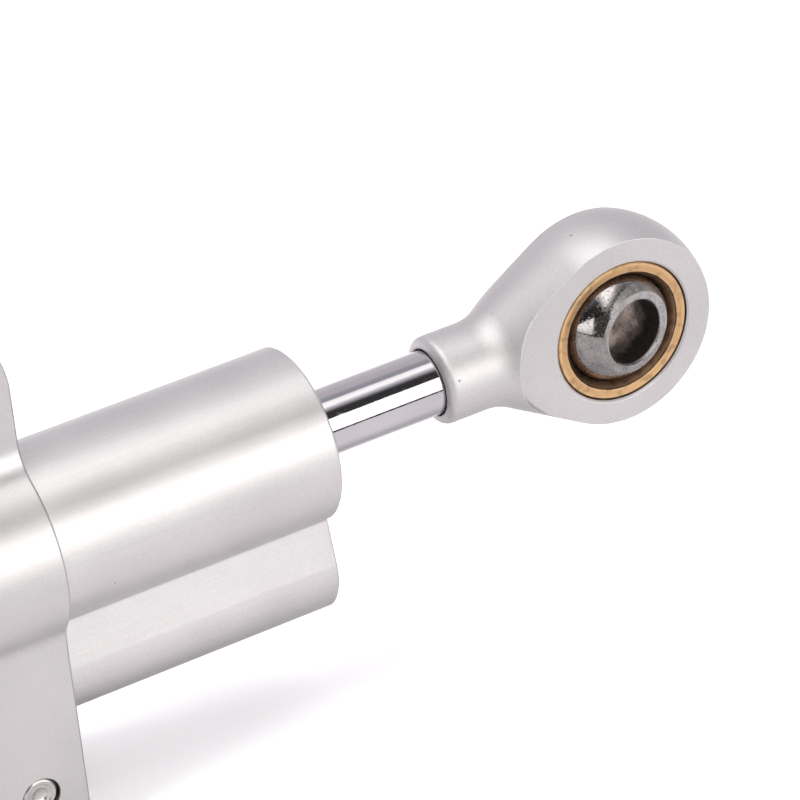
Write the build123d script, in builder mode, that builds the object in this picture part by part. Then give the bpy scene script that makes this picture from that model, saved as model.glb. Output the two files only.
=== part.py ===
# Linear hydraulic steering damper with an adjustable bypass.
# A chromed rod runs right through an extruded aluminium casing. The main tube holds oil and a
# piston, the small tube under it holds the needle valve that sets how fast oil gets from one
# side of the piston to the other, and a sprung piston that takes up the oil's expansion.
# A two-piece clamp grips the casing and carries the pivot ball, and the rod ends in a ball eye.
#
# Origin: centre of the pivot ball in the clamp's ear. +X runs along the rod towards the ball eye,
# +Z is up, and -Y is the side that faces the rider of the view in which the eye's bore shows.

import os
from math import asin, cos, radians, sin, sqrt, tan

from build123d import *

os.makedirs("parts", exist_ok=True)

# Fits, all radial or per face
slip = 0.02  # pieces of one body that slide together and then stay put
run = 0.04  # a part that turns or slides in another
lip_gap = 0.06  # a seal's lip beside the part that moves through it
edge_break = 0.3  # small chamfer on turned and milled edges

# Casing
body_len = 121.5
tube_d = 26.3
tube_bore = 20.0
lobe_d = 17.5
lobe_drop = 20.2
lobe_bore = 11.0
web_lean = 12.7  # degrees that the flanks under the main tube lean from the vertical
valley_round = 0.4  # between the tubes
end_bevel = 0.36
passage_d = 6.0
port_d = 3.0
port_inset = 19.0  # from each end of the casing to its cross drilling

# Rod and its eye
rod_d = 10.0
tail_out = 53.0  # rod beyond the casing's left end, at rest
rod_show = 22.0  # rod between the casing's right end and the eye's boss, at rest
rod_stud_d = 8.0
rod_stud_len = 11.5
rod_stud_lead = 0.8
rod_tail_lead = 1.0
rod_hex = 5.0
rod_hex_depth = 5.0

boss_d = 13.54
boss_round = 1.3
boss_hole_d = 10.4
boss_hole_depth = 4.0
neck_angle = 29.5
neck_fillet = 8.0
head_d = 32.27
eye_reach = 30.12  # from the boss's end face to the eye's centre
eye_t = 11.58
eye_mill_r = 10.0
eye_mill_reach = 19.0  # from the eye's centre to the near end of its milled flats
eye_mill_flank = 40.0
eye_race_d = 22.5
eye_race_w = 10.8
eye_race_rim = 1.65  # flat ring on the race's face
race_cone_depth = 1.2
eye_ball_d = 19.05
eye_ball_w = 14.0
eye_bore = 10.0
eye_swivel = 10.5  # how far the ball is turned about +Z where it stands

# Clamp and its pivot
clamp_w = 32.0
wrap_wall = 1.95
ear_t = 8.5
ear_fillet = 6.0
block_t = 23.4
block_fillet = 5.0
foot_wall = 6.0  # metal under the lower screws' holes
foot_round = 3.0
clamp_bevel = 0.35  # round the outline of each half
split_gap = 0.6
pivot_rise = 26.3
pivot_bore = 8.0
pivot_ball_d = 14.0
pivot_ball_w = 10.0
pivot_race_d = 18.0
pivot_race_w = 5.0
pivot_hub_d = 16.3
pivot_hub_sunk = 0.1  # below the ear's face
pivot_race_rim = 1.2
pivot_cone_depth = 0.9

lower_screw_d = 6.0
lower_screw_gap = 3.05  # metal between the lower screws' holes and the small tube
lower_screw_x = 8.6
upper_screw_d = 4.0
upper_screw_rise = 18.5
upper_screw_x = 10.5
screw_tip_recess = 0.3
screw_play = 0.4  # clearance holes over their screws
head_play = 0.4  # counterbores over the screws' heads

# Glands at both ends of the main tube
gland_d = 22.0
gland_len = 14.0
gland_recess = 3.0
bush_d = 12.0
bush_len = 8.0
bush_step = 0.4
gland_ring_inset = 4.5
seal_d = 16.0
seal_len = 2.6
wiper_len = 2.4
wiper_lip = 0.5
clip_t = 1.0
clip_bite = 0.5
clip_band = 1.6
clip_play = 0.05  # groove wider than its circlip
plug_clip_band = 1.2
seal_lip = 0.4  # thickness of the seal's lip over the rod
seal_slot_in = 0.9  # channel in the seal's face, from the rod outwards
seal_slot_out = 2.1
seal_slot_taper = 0.4
seal_slot_depth = 1.2
seal_gap = 1.0  # land between the bush and the seal
wiper_body = 1.4
wiper_hook = 0.5
relief = 0.5  # tools run out this much past an edge

# Piston
piston_x = -15.0  # centre of the piston, at rest
piston_len = 12.0
piston_ring_w = 3.2
piston_ring_t = 1.25
energiser_t = 1.35
piston_clip_bite = 0.6

# Cord of the static and sliding seal rings, and how much wider their grooves are
cord_gland = 1.65
cord_small = 1.2
cord_rod = 1.1
cord_stem = 0.8
cord_room = 1.3

# Adjuster
bonnet_d = 13.0
bonnet_len = 14.7
bonnet_ring_inset = 4.0
flange_d = 15.6
flange_t = 3.0
neck_d = 9.0
neck_len = 3.0
stem_d = 4.0
collar_d = 5.8
collar_len = 2.0
collar_inset = 2.0  # from the casing's end to the collar's outer face
stem_thread_d = 3.0
stem_thread_len = 8.0
stem_inset = 3.0  # from the knob's outer face to the stem's end
needle_d = 8.0
needle_flats = 6.0
needle_guide_len = 8.5
needle_gap = 2.0
needle_nose_d = 4.0
needle_nose_len = 3.5
needle_taper_len = 6.0
needle_tip_d = 1.6
seat_len = 4.0
seat_inset = 1.5  # from the cross drilling's edge
orifice_d = 3.0
knob_d = 21.0
knob_len = 12.0
knob_gap = 0.6
knob_neck_play = 0.3
knob_neck_end_play = 0.4
knob_flutes = 12
flute_d = 4.4
flute_depth = 1.1
knob_screw_d = 3.0
knob_screw_head = 5.5
knob_screw_head_t = 1.7
knob_screw_len = 5.5
knob_screw_hex = 2.0
knob_screw_hex_depth = 1.2
knob_recess = 2.0  # sinking for the screw's head
knob_recess_play = 0.2
detent_r = 6.9
detent_ball_d = 1.6
detent_hole_depth = 5.0
detent_wire = 0.3
detent_turns = 4

# Expansion reservoir in the other end of the small tube
comp_len = 6.0
comp_wall = 1.2
comp_pocket = 3.0
comp_ring_inset = 1.6
comp_lift = 1.5  # from the passage's shoulder to the piston, at rest
plug_len = 4.5
plug_recess = 2.0
plug_hole_d = 2.5
plug_floor = 1.2
plug_clip_t = 0.9
spring_wire = 0.8
spring_turns = 4
spring_play = 0.2
port_plug_d = 5.0
port_plug_len = 2.4
port_plug_recess = 0.3

# What follows from them
axis_z = -pivot_rise
lobe_z = axis_z - lobe_drop
right_end = body_len / 2
left_end = -body_len / 2
boss_x = right_end + rod_show
eye_x = boss_x + eye_reach
shoulder_x = boss_x + boss_hole_depth
tail_x = left_end - tail_out
gland_depth = gland_recess + gland_len
head_r = head_d / 2
lower_screw_drop = lobe_drop + lobe_d / 2 + lower_screw_gap + lower_screw_d / 2
foot_drop = lower_screw_drop + lower_screw_d / 2 + foot_wall

rod_axis = Axis((0, 0, axis_z), (1, 0, 0))
lobe_axis = Axis((0, 0, lobe_z), (1, 0, 0))
along_rod = Plane(origin=(0, 0, axis_z), x_dir=(1, 0, 0), z_dir=(0, -1, 0))
along_lobe = Plane(origin=(0, 0, lobe_z), x_dir=(1, 0, 0), z_dir=(0, -1, 0))


def across(x, z=axis_z):
    """Plane square to the rod at x, with its own x along +Y and its own y along +Z."""
    return Plane(origin=(x, 0, z), x_dir=(0, 1, 0), z_dir=(1, 0, 0))


def front_plane(y):
    """Plane parallel to the eye's face, with its own x along +X and its own y along +Z."""
    return Plane(origin=(0, y, 0), x_dir=(1, 0, 0), z_dir=(0, -1, 0))


def turned(plane, axis, points):
    """Turned solid: a closed profile of (station, radius) points, revolved about its axis."""
    with BuildSketch(plane) as profile:
        with BuildLine():
            Polyline(*points, close=True)
        make_face()
    revolve(profile.sketch, axis=axis)


def cord_ring(plane, axis, x, floor_r, cord):
    """Seal ring that lies on a groove's floor, its cord six-sided."""
    with BuildSketch(plane) as profile:
        with Locations((x, floor_r + slip + cord / 2)):
            RegularPolygon(cord / 2, 6, major_radius=False)
    revolve(profile.sketch, axis=axis)


def groove(plane, axis, x, width, inner, outer):
    """Rectangular groove turned into the piece being made, centred on x."""
    with BuildSketch(plane) as profile:
        with Locations((x, (inner + outer) / 2)):
            Rectangle(width, outer - inner)
    revolve(profile.sketch, axis=axis, mode=Mode.SUBTRACT)


def casing_section(section, grow=0.0):
    """Outline of the casing: the main tube, and the small tube that hangs under it on a web."""
    lobe_r = lobe_d / 2 + grow
    lean = radians(web_lean)
    touch_y = lobe_r * cos(lean)
    touch_z = -lobe_drop + lobe_r * sin(lean)
    root_z = -(tube_d / 2 + grow) / 2
    root_y = touch_y - (root_z - touch_z) * tan(lean)
    Circle(tube_d / 2 + grow)
    with Locations((0, -lobe_drop)):
        Circle(lobe_r)
    Polygon(
        (-root_y, root_z),
        (root_y, root_z),
        (touch_y, touch_z),
        (0, -lobe_drop),
        (-touch_y, touch_z),
        align=None,
    )
    fillet(section.vertices().group_by(Axis.Y)[-1], valley_round)


# Casing: one length of extruded section, bored from both ends and anodised
port_x = right_end - port_inset
seat_x = -port_x + port_d / 2 + seat_inset
reservoir_x = port_x + port_d / 2 - relief
clip_groove_w = clip_t + clip_play
plug_groove_w = plug_clip_t + clip_play

with BuildPart() as damper_body:
    with BuildSketch(across(left_end)) as section:
        casing_section(section)
    extrude(amount=body_len)
    for end_face in (damper_body.faces().sort_by(Axis.X)[0], damper_body.faces().sort_by(Axis.X)[-1]):
        chamfer(end_face.outer_wire().edges(), end_bevel)
    with BuildSketch(across(left_end)):
        Circle(tube_bore / 2)
    extrude(amount=body_len, mode=Mode.SUBTRACT)
    for side in (-1, 1):
        with BuildSketch(across(side * right_end)):
            Circle(gland_d / 2)
        extrude(amount=-side * gland_depth, mode=Mode.SUBTRACT)
        groove(
            along_rod,
            rod_axis,
            side * (right_end - gland_recess + clip_groove_w / 2),
            clip_groove_w,
            gland_d / 2 - relief,
            gland_d / 2 + clip_bite,
        )
    with BuildSketch(across(left_end, lobe_z)):
        Circle(passage_d / 2)
    extrude(amount=body_len, mode=Mode.SUBTRACT)
    with BuildSketch(across(left_end, lobe_z)):
        Circle(lobe_bore / 2)
    extrude(amount=seat_x + seat_len - left_end, mode=Mode.SUBTRACT)
    with BuildSketch(across(left_end, lobe_z)):
        Circle(bonnet_d / 2)
    extrude(amount=bonnet_len + edge_break, mode=Mode.SUBTRACT)
    with BuildSketch(across(right_end, lobe_z)):
        Circle(lobe_bore / 2)
    extrude(amount=reservoir_x - right_end, mode=Mode.SUBTRACT)
    groove(
        along_lobe,
        lobe_axis,
        right_end - plug_recess + plug_groove_w / 2,
        plug_groove_w,
        lobe_bore / 2 - relief,
        lobe_bore / 2 + clip_bite,
    )
    for side in (-1, 1):
        with BuildSketch(Plane(origin=(side * port_x, 0, lobe_z - lobe_d / 2 - 1), z_dir=(0, 0, 1))):
            Circle(port_d / 2)
        extrude(amount=lobe_drop + lobe_d / 2 - tube_bore / 4, mode=Mode.SUBTRACT)
        with BuildSketch(Plane(origin=(side * port_x, 0, lobe_z - lobe_d / 2 - 1), z_dir=(0, 0, 1))):
            Circle(port_plug_d / 2)
        extrude(amount=1 + port_plug_len + port_plug_recess, mode=Mode.SUBTRACT)
damper_body.part.label = "damper_body"
export_step(damper_body.part, "parts/damper_body.step")

# Glands: turned aluminium heads that close the main tube and guide the rod
gland_out = right_end - gland_recess
gland_in = gland_out - gland_len
bush_end = gland_in + bush_len
seal_in = bush_end + seal_gap
seal_out = seal_in + seal_len
gland_r = gland_d / 2 - slip
gland_floor_r = gland_r - cord_gland - slip
gland_ring_x = gland_in + gland_ring_inset

for side, word in ((-1, "left"), (1, "right")):
    with BuildPart() as gland:
        turned(
            along_rod,
            rod_axis,
            [
                (side * gland_in, bush_d / 2),
                (side * bush_end, bush_d / 2),
                (side * bush_end, bush_d / 2 - bush_step),
                (side * seal_in, bush_d / 2 - bush_step),
                (side * seal_in, seal_d / 2),
                (side * gland_out, seal_d / 2),
                (side * gland_out, gland_r),
                (side * gland_in, gland_r),
            ],
        )
        groove(
            along_rod, rod_axis, side * gland_ring_x, cord_room * cord_gland, gland_floor_r, gland_d
        )
    gland.part.label = f"gland_{word}"
    export_step(gland.part, f"parts/gland_{word}.step")

    # Guide bush: a thin lined sleeve pressed into the gland's inner end
    with BuildPart() as rod_bush:
        with BuildSketch(across(side * gland_in)):
            Circle(bush_d / 2 - slip)
            Circle(rod_d / 2 + run, mode=Mode.SUBTRACT)
        extrude(amount=side * (bush_len - slip))
    rod_bush.part.label = f"rod_bush_{word}"
    export_step(rod_bush.part, f"parts/rod_bush_{word}.step")

    # Lip seal: a rubber ring with a channel that the oil's pressure opens onto the rod
    with BuildPart() as rod_seal:
        turned(
            along_rod,
            rod_axis,
            [
                (side * (seal_in + slip), rod_d / 2 + lip_gap),
                (side * (seal_in + slip), rod_d / 2 + seal_slot_in),
                (side * (seal_in + seal_slot_depth), rod_d / 2 + seal_slot_in + seal_slot_taper),
                (side * (seal_in + seal_slot_depth), rod_d / 2 + seal_slot_out - seal_slot_taper),
                (side * (seal_in + slip), rod_d / 2 + seal_slot_out),
                (side * (seal_in + slip), seal_d / 2 - slip),
                (side * (seal_out - slip), seal_d / 2 - slip),
                (side * (seal_out - slip), rod_d / 2 + seal_lip),
                (side * (seal_in + seal_slot_depth), rod_d / 2 + seal_lip),
            ],
        )
    rod_seal.part.label = f"rod_seal_{word}"
    export_step(rod_seal.part, f"parts/rod_seal_{word}.step")

    # Wiper: a rubber ring whose lip stands out of the gland and scrapes dirt off the rod
    with BuildPart() as wiper:
        turned(
            along_rod,
            rod_axis,
            [
                (side * seal_out, rod_d / 2 + wiper_hook),
                (side * seal_out, seal_d / 2 - slip),
                (side * (gland_out - lip_gap), seal_d / 2 - slip),
                (side * (gland_out - lip_gap), rod_d / 2 + wiper_body),
                (side * (gland_out + wiper_lip), rod_d / 2 + wiper_hook),
                (side * (gland_out + wiper_lip), rod_d / 2 + lip_gap),
            ],
        )
    wiper.part.label = f"wiper_{word}"
    export_step(wiper.part, f"parts/wiper_{word}.step")

# Seal rings round both glands
with BuildPart() as gland_seal_rings:
    for side in (-1, 1):
        cord_ring(along_rod, rod_axis, side * gland_ring_x, gland_floor_r, cord_gland - slip)
gland_seal_rings.part.label = "gland_seal_rings"
export_step(gland_seal_rings.part, "parts/gland_seal_rings.step")


def inner_circlip(plane, seat_r, band, thickness):
    """Sprung ring that snaps into a bore's groove, with two eyes for the pliers at its gap."""
    eye_r = 0.75 * band
    eye_at = seat_r - band - 0.2 * eye_r
    eye_angle = 14
    with BuildSketch(plane) as ring:
        Circle(seat_r)
        Circle(seat_r - band, mode=Mode.SUBTRACT)
        with Locations((0, seat_r)):
            Rectangle(2 * seat_r * sin(radians(eye_angle)), 4 * band, mode=Mode.SUBTRACT)
        with PolarLocations(eye_at, 2, start_angle=90 - eye_angle, angular_range=4 * eye_angle):
            Circle(eye_r)
            Circle(0.45 * eye_r, mode=Mode.SUBTRACT)
    extrude(ring.sketch, amount=thickness)


# Circlips that hold the glands in
with BuildPart() as gland_circlips:
    for clip_x in (-gland_out - clip_t, gland_out):
        inner_circlip(across(clip_x), gland_d / 2 + clip_bite - slip, clip_band, clip_t)
gland_circlips.part.label = "gland_circlips"
export_step(gland_circlips.part, "parts/gland_circlips.step")

# Rod: ground and chromed steel, with a hexagon socket in its tail and a stud for the eye
with BuildPart() as damper_rod:
    turned(
        along_rod,
        rod_axis,
        [
            (tail_x, 0),
            (tail_x, rod_d / 2 - rod_tail_lead),
            (tail_x + rod_tail_lead, rod_d / 2),
            (shoulder_x, rod_d / 2),
            (shoulder_x, rod_stud_d / 2),
            (shoulder_x + rod_stud_len - rod_stud_lead, rod_stud_d / 2),
            (shoulder_x + rod_stud_len, rod_stud_d / 2 - rod_stud_lead),
            (shoulder_x + rod_stud_len, 0),
        ],
    )
    for side in (-1, 1):
        groove(
            along_rod,
            rod_axis,
            piston_x + side * (piston_len / 2 + clip_groove_w / 2),
            clip_groove_w,
            rod_d / 2 - piston_clip_bite,
            rod_d,
        )
    with BuildSketch(across(tail_x)):
        RegularPolygon(rod_hex / 2, 6, major_radius=False)
    extrude(amount=rod_hex_depth, mode=Mode.SUBTRACT)
damper_rod.part.label = "damper_rod"
export_step(damper_rod.part, "parts/damper_rod.step")

# Piston: a turned disc on the rod, grooved for its sliding ring and for a seal on the rod
piston_r = tube_bore / 2 - lip_gap
ring_out_r = tube_bore / 2 - run
ring_in_r = ring_out_r - piston_ring_t
piston_floor_r = ring_in_r - energiser_t

with BuildPart() as piston:
    with BuildSketch(across(piston_x - piston_len / 2)):
        Circle(piston_r)
        Circle(rod_d / 2 + slip, mode=Mode.SUBTRACT)
    extrude(amount=piston_len)
    chamfer(piston.edges().filter_by(GeomType.CIRCLE).group_by(SortBy.RADIUS)[-1], 2 * edge_break)
    groove(along_rod, rod_axis, piston_x, piston_ring_w + 2 * run, piston_floor_r, tube_bore / 2)
    groove(
        along_rod,
        rod_axis,
        piston_x,
        cord_room * cord_rod,
        rod_d / 2 - relief,
        rod_d / 2 + 3 * slip + cord_rod,
    )
piston.part.label = "piston"
export_step(piston.part, "parts/piston.step")

# Sliding ring: a hard plastic band that runs on the tube's bore, and the cord that backs it
with BuildPart() as piston_ring:
    with BuildSketch(across(piston_x - piston_ring_w / 2)):
        Circle(ring_out_r)
        Circle(ring_in_r, mode=Mode.SUBTRACT)
    extrude(amount=piston_ring_w)
piston_ring.part.label = "piston_ring"
export_step(piston_ring.part, "parts/piston_ring.step")

with BuildPart() as piston_energiser:
    cord_ring(along_rod, rod_axis, piston_x, piston_floor_r + run, energiser_t - run - 2 * slip)
piston_energiser.part.label = "piston_energiser"
export_step(piston_energiser.part, "parts/piston_energiser.step")

with BuildPart() as piston_seal_ring:
    cord_ring(along_rod, rod_axis, piston_x, rod_d / 2, cord_rod)
piston_seal_ring.part.label = "piston_seal_ring"
export_step(piston_seal_ring.part, "parts/piston_seal_ring.step")

# Circlips that hold the piston on the rod, one on each side
with BuildPart() as piston_clips:
    clip_in_r = rod_d / 2 - piston_clip_bite + slip
    clip_out_r = rod_d / 2 + clip_band
    for clip_x in (piston_x - piston_len / 2 - clip_t, piston_x + piston_len / 2):
        with BuildSketch(across(clip_x)):
            Circle(clip_out_r)
            Circle(clip_in_r, mode=Mode.SUBTRACT)
            with Locations((0, clip_out_r)):
                Rectangle(1.4 * clip_in_r, 2 * clip_out_r - 2 * clip_in_r * 0.8, mode=Mode.SUBTRACT)
        extrude(amount=clip_t)
piston_clips.part.label = "piston_clips"
export_step(piston_clips.part, "parts/piston_clips.step")

# Ball eye on the rod: turned to a round head that runs into a slim boss along a cone, then
# milled flat on both sides with a round-ended pocket, and bored for its bearing
neck = radians(neck_angle)
neck_touch = (eye_x - head_r * sin(neck), head_r * cos(neck))
neck_root_x = neck_touch[0] - (neck_touch[1] - boss_d / 2) / tan(neck)
mill_x = eye_x - eye_mill_reach + eye_mill_r
flank = radians(eye_mill_flank)
flank_x = mill_x - eye_mill_r * sin(flank)
flank_z = eye_mill_r * cos(flank)
far_x = eye_x + head_d
far_z = head_d
eye_face = eye_t / 2

with BuildPart() as rod_end:
    with BuildSketch(along_rod):
        with BuildLine():
            FilletPolyline(
                (boss_x, 0),
                (boss_x, boss_d / 2),
                (neck_root_x, boss_d / 2),
                neck_touch,
                radius=[boss_round, neck_fillet],
            )
            ThreePointArc(
                neck_touch,
                (eye_x + head_r * sin(radians(15)), head_r * cos(radians(15))),
                (eye_x + head_r, 0),
            )
            Line((eye_x + head_r, 0), (boss_x, 0))
        make_face()
    revolve(axis=rod_axis)
    for side in (-1, 1):
        with BuildSketch(front_plane(side * eye_face)):
            with Locations((mill_x, axis_z)):
                Circle(eye_mill_r)
            Polygon(
                (flank_x, axis_z + flank_z),
                (flank_x + (far_z - flank_z) / tan(flank), axis_z + far_z),
                (far_x + head_d, axis_z + far_z),
                (far_x + head_d, axis_z - far_z),
                (flank_x + (far_z - flank_z) / tan(flank), axis_z - far_z),
                (flank_x, axis_z - flank_z),
                align=None,
            )
        extrude(amount=-side * head_r, mode=Mode.SUBTRACT)
    with BuildSketch(front_plane(-head_r)):
        with Locations((eye_x, axis_z)):
            Circle(eye_race_d / 2)
    extrude(amount=-head_d, mode=Mode.SUBTRACT)
    chamfer(
        rod_end.edges().filter_by(GeomType.CIRCLE).filter_by(
            lambda e: abs(e.radius - eye_race_d / 2) < 0.01
        ),
        edge_break,
    )
    with BuildSketch(across(boss_x)):
        Circle(boss_hole_d / 2)
    extrude(amount=boss_hole_depth, mode=Mode.SUBTRACT)
    with BuildSketch(across(boss_x)):
        Circle(rod_stud_d / 2 + slip)
    extrude(amount=boss_hole_depth + rod_stud_len + relief, mode=Mode.SUBTRACT)
rod_end.part.label = "rod_end"
export_step(rod_end.part, "parts/rod_end.step")


def bearing_plane(x, z, swivel=0.0):
    """Plane that holds a ball joint's bore axis as its own y, turned about +Z by swivel."""
    turn = radians(swivel)
    return Plane(origin=(x, 0, z), x_dir=(cos(turn), sin(turn), 0), z_dir=(0, 0, 1))


def ball(plane, ball_d, width, bore):
    """Ball cut flat at both ends and bored through."""
    ball_r = ball_d / 2
    flat_r = sqrt(ball_r**2 - (width / 2) ** 2)
    with BuildSketch(plane) as profile:
        with BuildLine():
            ThreePointArc((flat_r, -width / 2), (ball_r, 0), (flat_r, width / 2))
            Polyline(
                (flat_r, width / 2),
                (bore / 2 + edge_break, width / 2),
                (bore / 2, width / 2 - edge_break),
                (bore / 2, edge_break - width / 2),
                (bore / 2 + edge_break, -width / 2),
                (flat_r, -width / 2),
            )
        make_face()
    revolve(profile.sketch, axis=Axis(plane.origin, plane.y_dir))


# Race of the eye: a bronze ring, its bore a ball socket that opens in a cone on each side
socket_r = eye_ball_d / 2 + run
race_mouth_r = eye_race_d / 2 - eye_race_rim
race_cone_y = eye_race_w / 2 - race_cone_depth

with BuildPart() as rod_end_race:
    race_plane = bearing_plane(eye_x, axis_z)
    cone_r = sqrt(socket_r**2 - race_cone_y**2)
    with BuildSketch(race_plane):
        with BuildLine():
            ThreePointArc((cone_r, -race_cone_y), (socket_r, 0), (cone_r, race_cone_y))
            Polyline(
                (cone_r, race_cone_y),
                (race_mouth_r, eye_race_w / 2),
                (eye_race_d / 2 - slip - edge_break, eye_race_w / 2),
                (eye_race_d / 2 - slip, eye_race_w / 2 - edge_break),
                (eye_race_d / 2 - slip, edge_break - eye_race_w / 2),
                (eye_race_d / 2 - slip - edge_break, -eye_race_w / 2),
                (race_mouth_r, -eye_race_w / 2),
                (cone_r, -race_cone_y),
            )
        make_face()
    revolve(axis=Axis(race_plane.origin, race_plane.y_dir))
rod_end_race.part.label = "rod_end_race"
export_step(rod_end_race.part, "parts/rod_end_race.step")

# Ball of the eye, of hardened steel, standing a little turned in its race
with BuildPart() as rod_end_ball:
    ball(bearing_plane(eye_x, axis_z, eye_swivel), eye_ball_d, eye_ball_w, eye_bore)
rod_end_ball.part.label = "rod_end_ball"
export_step(rod_end_ball.part, "parts/rod_end_ball.step")

# Clamp: two milled halves that wrap the casing, thin above for the pivot and thick below
wrap_r = tube_d / 2 + wrap_wall
ear_r = clamp_w / 2
ear_top = pivot_rise + ear_r
half_gap = split_gap / 2
head_bore_d = 5 / 3 * lower_screw_d + head_play
head_depth = lower_screw_d + head_play
head_floor_y = block_t / 2 - head_depth
spot_d = 5 / 3 * upper_screw_d + 2.8 * head_play
lower_screw_z = axis_z - lower_screw_drop
upper_screw_z = axis_z + upper_screw_rise
race_lip_r = pivot_hub_d / 2 + slip
race_pocket_r = pivot_race_d / 2 + slip



def on_outline(point, side):
    """Whether a point of a clamp half's edge lies on its outer face's outline."""
    on_side = abs(abs(point.X) - ear_r) < run
    on_ear = point.Z > 0 and abs(sqrt(point.X**2 + point.Z**2) - ear_r) < run
    low = axis_z - foot_drop + foot_round
    on_foot = point.Z < low
    outside = side * point.Y > ear_t / 2 - run and sqrt(point.Y**2 + (point.Z - axis_z) ** 2) > wrap_r - run
    return outside and (on_side or on_ear or on_foot)


for side, word in ((-1, "front"), (1, "rear")):
    with BuildPart() as clamp:
        with BuildSketch(across(-clamp_w / 2)) as section:
            Circle(wrap_r)
            with Locations((0, ear_top / 2)):
                Rectangle(ear_t, ear_top)
            with Locations((0, -foot_drop / 2)):
                Rectangle(block_t, foot_drop)
            ear_foot_z = sqrt(wrap_r**2 - (ear_t / 2) ** 2)
            block_head_z = -sqrt(wrap_r**2 - (block_t / 2) ** 2)
            for corner_y in (-1, 1):
                fillet(
                    section.vertices().sort_by_distance((corner_y * ear_t / 2, ear_foot_z))[0],
                    ear_fillet,
                )
                fillet(
                    section.vertices().sort_by_distance((corner_y * block_t / 2, block_head_z))[0],
                    block_fillet,
                )
            with Locations((side * (half_gap + block_t / 2), 0)):
                Rectangle(block_t, 4 * foot_drop, mode=Mode.INTERSECT)
        extrude(amount=clamp_w)
        with BuildSketch(across(-clamp_w / 2)) as casing_hole:
            casing_section(casing_hole, slip)
        extrude(amount=clamp_w, mode=Mode.SUBTRACT)
        with BuildSketch(front_plane(-block_t)) as face_outline:
            Circle(ear_r)
            with Locations((0, (axis_z - foot_drop) / 2)):
                Rectangle(clamp_w, foot_drop - axis_z)
            fillet(face_outline.vertices().group_by(Axis.Y)[0], foot_round)
        extrude(amount=-2 * block_t, mode=Mode.INTERSECT)
        outline = [e for e in clamp.edges() if on_outline(e.position_at(0.5), side)]
        chamfer(outline, clamp_bevel)
        with BuildSketch(front_plane(0)):
            Circle(race_lip_r)
        extrude(amount=-side * ear_t, mode=Mode.SUBTRACT)
        with BuildSketch(front_plane(0)):
            Circle(race_pocket_r)
        extrude(amount=-side * (pivot_race_w / 2 + slip), mode=Mode.SUBTRACT)
        lower_hole_d = lower_screw_d + (2 * slip if side < 0 else screw_play)
        upper_hole_d = upper_screw_d + (2 * slip if side < 0 else screw_play)
        with BuildSketch(front_plane(0)):
            with Locations(*[(s * lower_screw_x, lower_screw_z) for s in (-1, 1)]):
                Circle(lower_hole_d / 2)
            with Locations(*[(s * upper_screw_x, upper_screw_z) for s in (-1, 1)]):
                Circle(upper_hole_d / 2)
        extrude(amount=-side * block_t, mode=Mode.SUBTRACT)
        if side > 0:
            with BuildSketch(front_plane(head_floor_y)):
                with Locations(*[(s * lower_screw_x, lower_screw_z) for s in (-1, 1)]):
                    Circle(head_bore_d / 2)
            extrude(amount=-block_t, mode=Mode.SUBTRACT)
            with BuildSketch(front_plane(ear_t / 2)):
                with Locations(*[(s * upper_screw_x, upper_screw_z) for s in (-1, 1)]):
                    Circle(spot_d / 2)
            extrude(amount=-block_t, mode=Mode.SUBTRACT)
    clamp.part.label = f"clamp_{word}"
    export_step(clamp.part, f"parts/clamp_{word}.step")


def socket_screw(x, z, seat_y, tip_y, size):
    """Cylinder-head screw with a hexagon socket, its head's underside at seat_y."""
    with BuildSketch(front_plane(tip_y)) as shank:
        with Locations((x, z)):
            Circle(size / 2 - slip)
    extrude(shank.sketch, amount=tip_y - seat_y)
    with BuildSketch(front_plane(seat_y)) as head:
        with Locations((x, z)):
            Circle(5 / 6 * size)
    extrude(head.sketch, amount=-size)
    with BuildSketch(front_plane(seat_y + size)) as socket:
        with Locations((x, z)):
            RegularPolygon(5 / 12 * size, 6, major_radius=False)
    extrude(socket.sketch, amount=size / 2, mode=Mode.SUBTRACT)


# Screws that draw the two halves together, from the rear into threads in the front half
with BuildPart() as clamp_lower_screws:
    for s in (-1, 1):
        socket_screw(
            s * lower_screw_x,
            lower_screw_z,
            head_floor_y,
            screw_tip_recess - block_t / 2,
            lower_screw_d,
        )
clamp_lower_screws.part.label = "clamp_lower_screws"
export_step(clamp_lower_screws.part, "parts/clamp_lower_screws.step")

with BuildPart() as clamp_upper_screws:
    for s in (-1, 1):
        socket_screw(
            s * upper_screw_x,
            upper_screw_z,
            ear_t / 2,
            screw_tip_recess / 2 - ear_t / 2,
            upper_screw_d,
        )
clamp_upper_screws.part.label = "clamp_upper_screws"
export_step(clamp_upper_screws.part, "parts/clamp_upper_screws.step")

# Pivot race: a bronze ring with a rib that the two halves trap between them
with BuildPart() as pivot_race:
    pivot_plane = bearing_plane(0, 0)
    pivot_socket_r = pivot_ball_d / 2 + run
    hub_y = ear_t / 2 - pivot_hub_sunk
    hub_r = pivot_hub_d / 2
    pivot_cone_y = hub_y - pivot_cone_depth
    pivot_cone_r = sqrt(pivot_socket_r**2 - pivot_cone_y**2)
    pivot_mouth_r = hub_r - pivot_race_rim
    rib_y = pivot_race_w / 2
    with BuildSketch(pivot_plane):
        with BuildLine():
            ThreePointArc((pivot_cone_r, -pivot_cone_y), (pivot_socket_r, 0), (pivot_cone_r, pivot_cone_y))
            Polyline(
                (pivot_cone_r, pivot_cone_y),
                (pivot_mouth_r, hub_y),
                (hub_r, hub_y),
                (hub_r, rib_y),
                (pivot_race_d / 2, rib_y),
                (pivot_race_d / 2, -rib_y),
                (hub_r, -rib_y),
                (hub_r, -hub_y),
                (pivot_mouth_r, -hub_y),
                (pivot_cone_r, -pivot_cone_y),
            )
        make_face()
    revolve(axis=Axis(pivot_plane.origin, pivot_plane.y_dir))
pivot_race.part.label = "pivot_race"
export_step(pivot_race.part, "parts/pivot_race.step")

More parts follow.
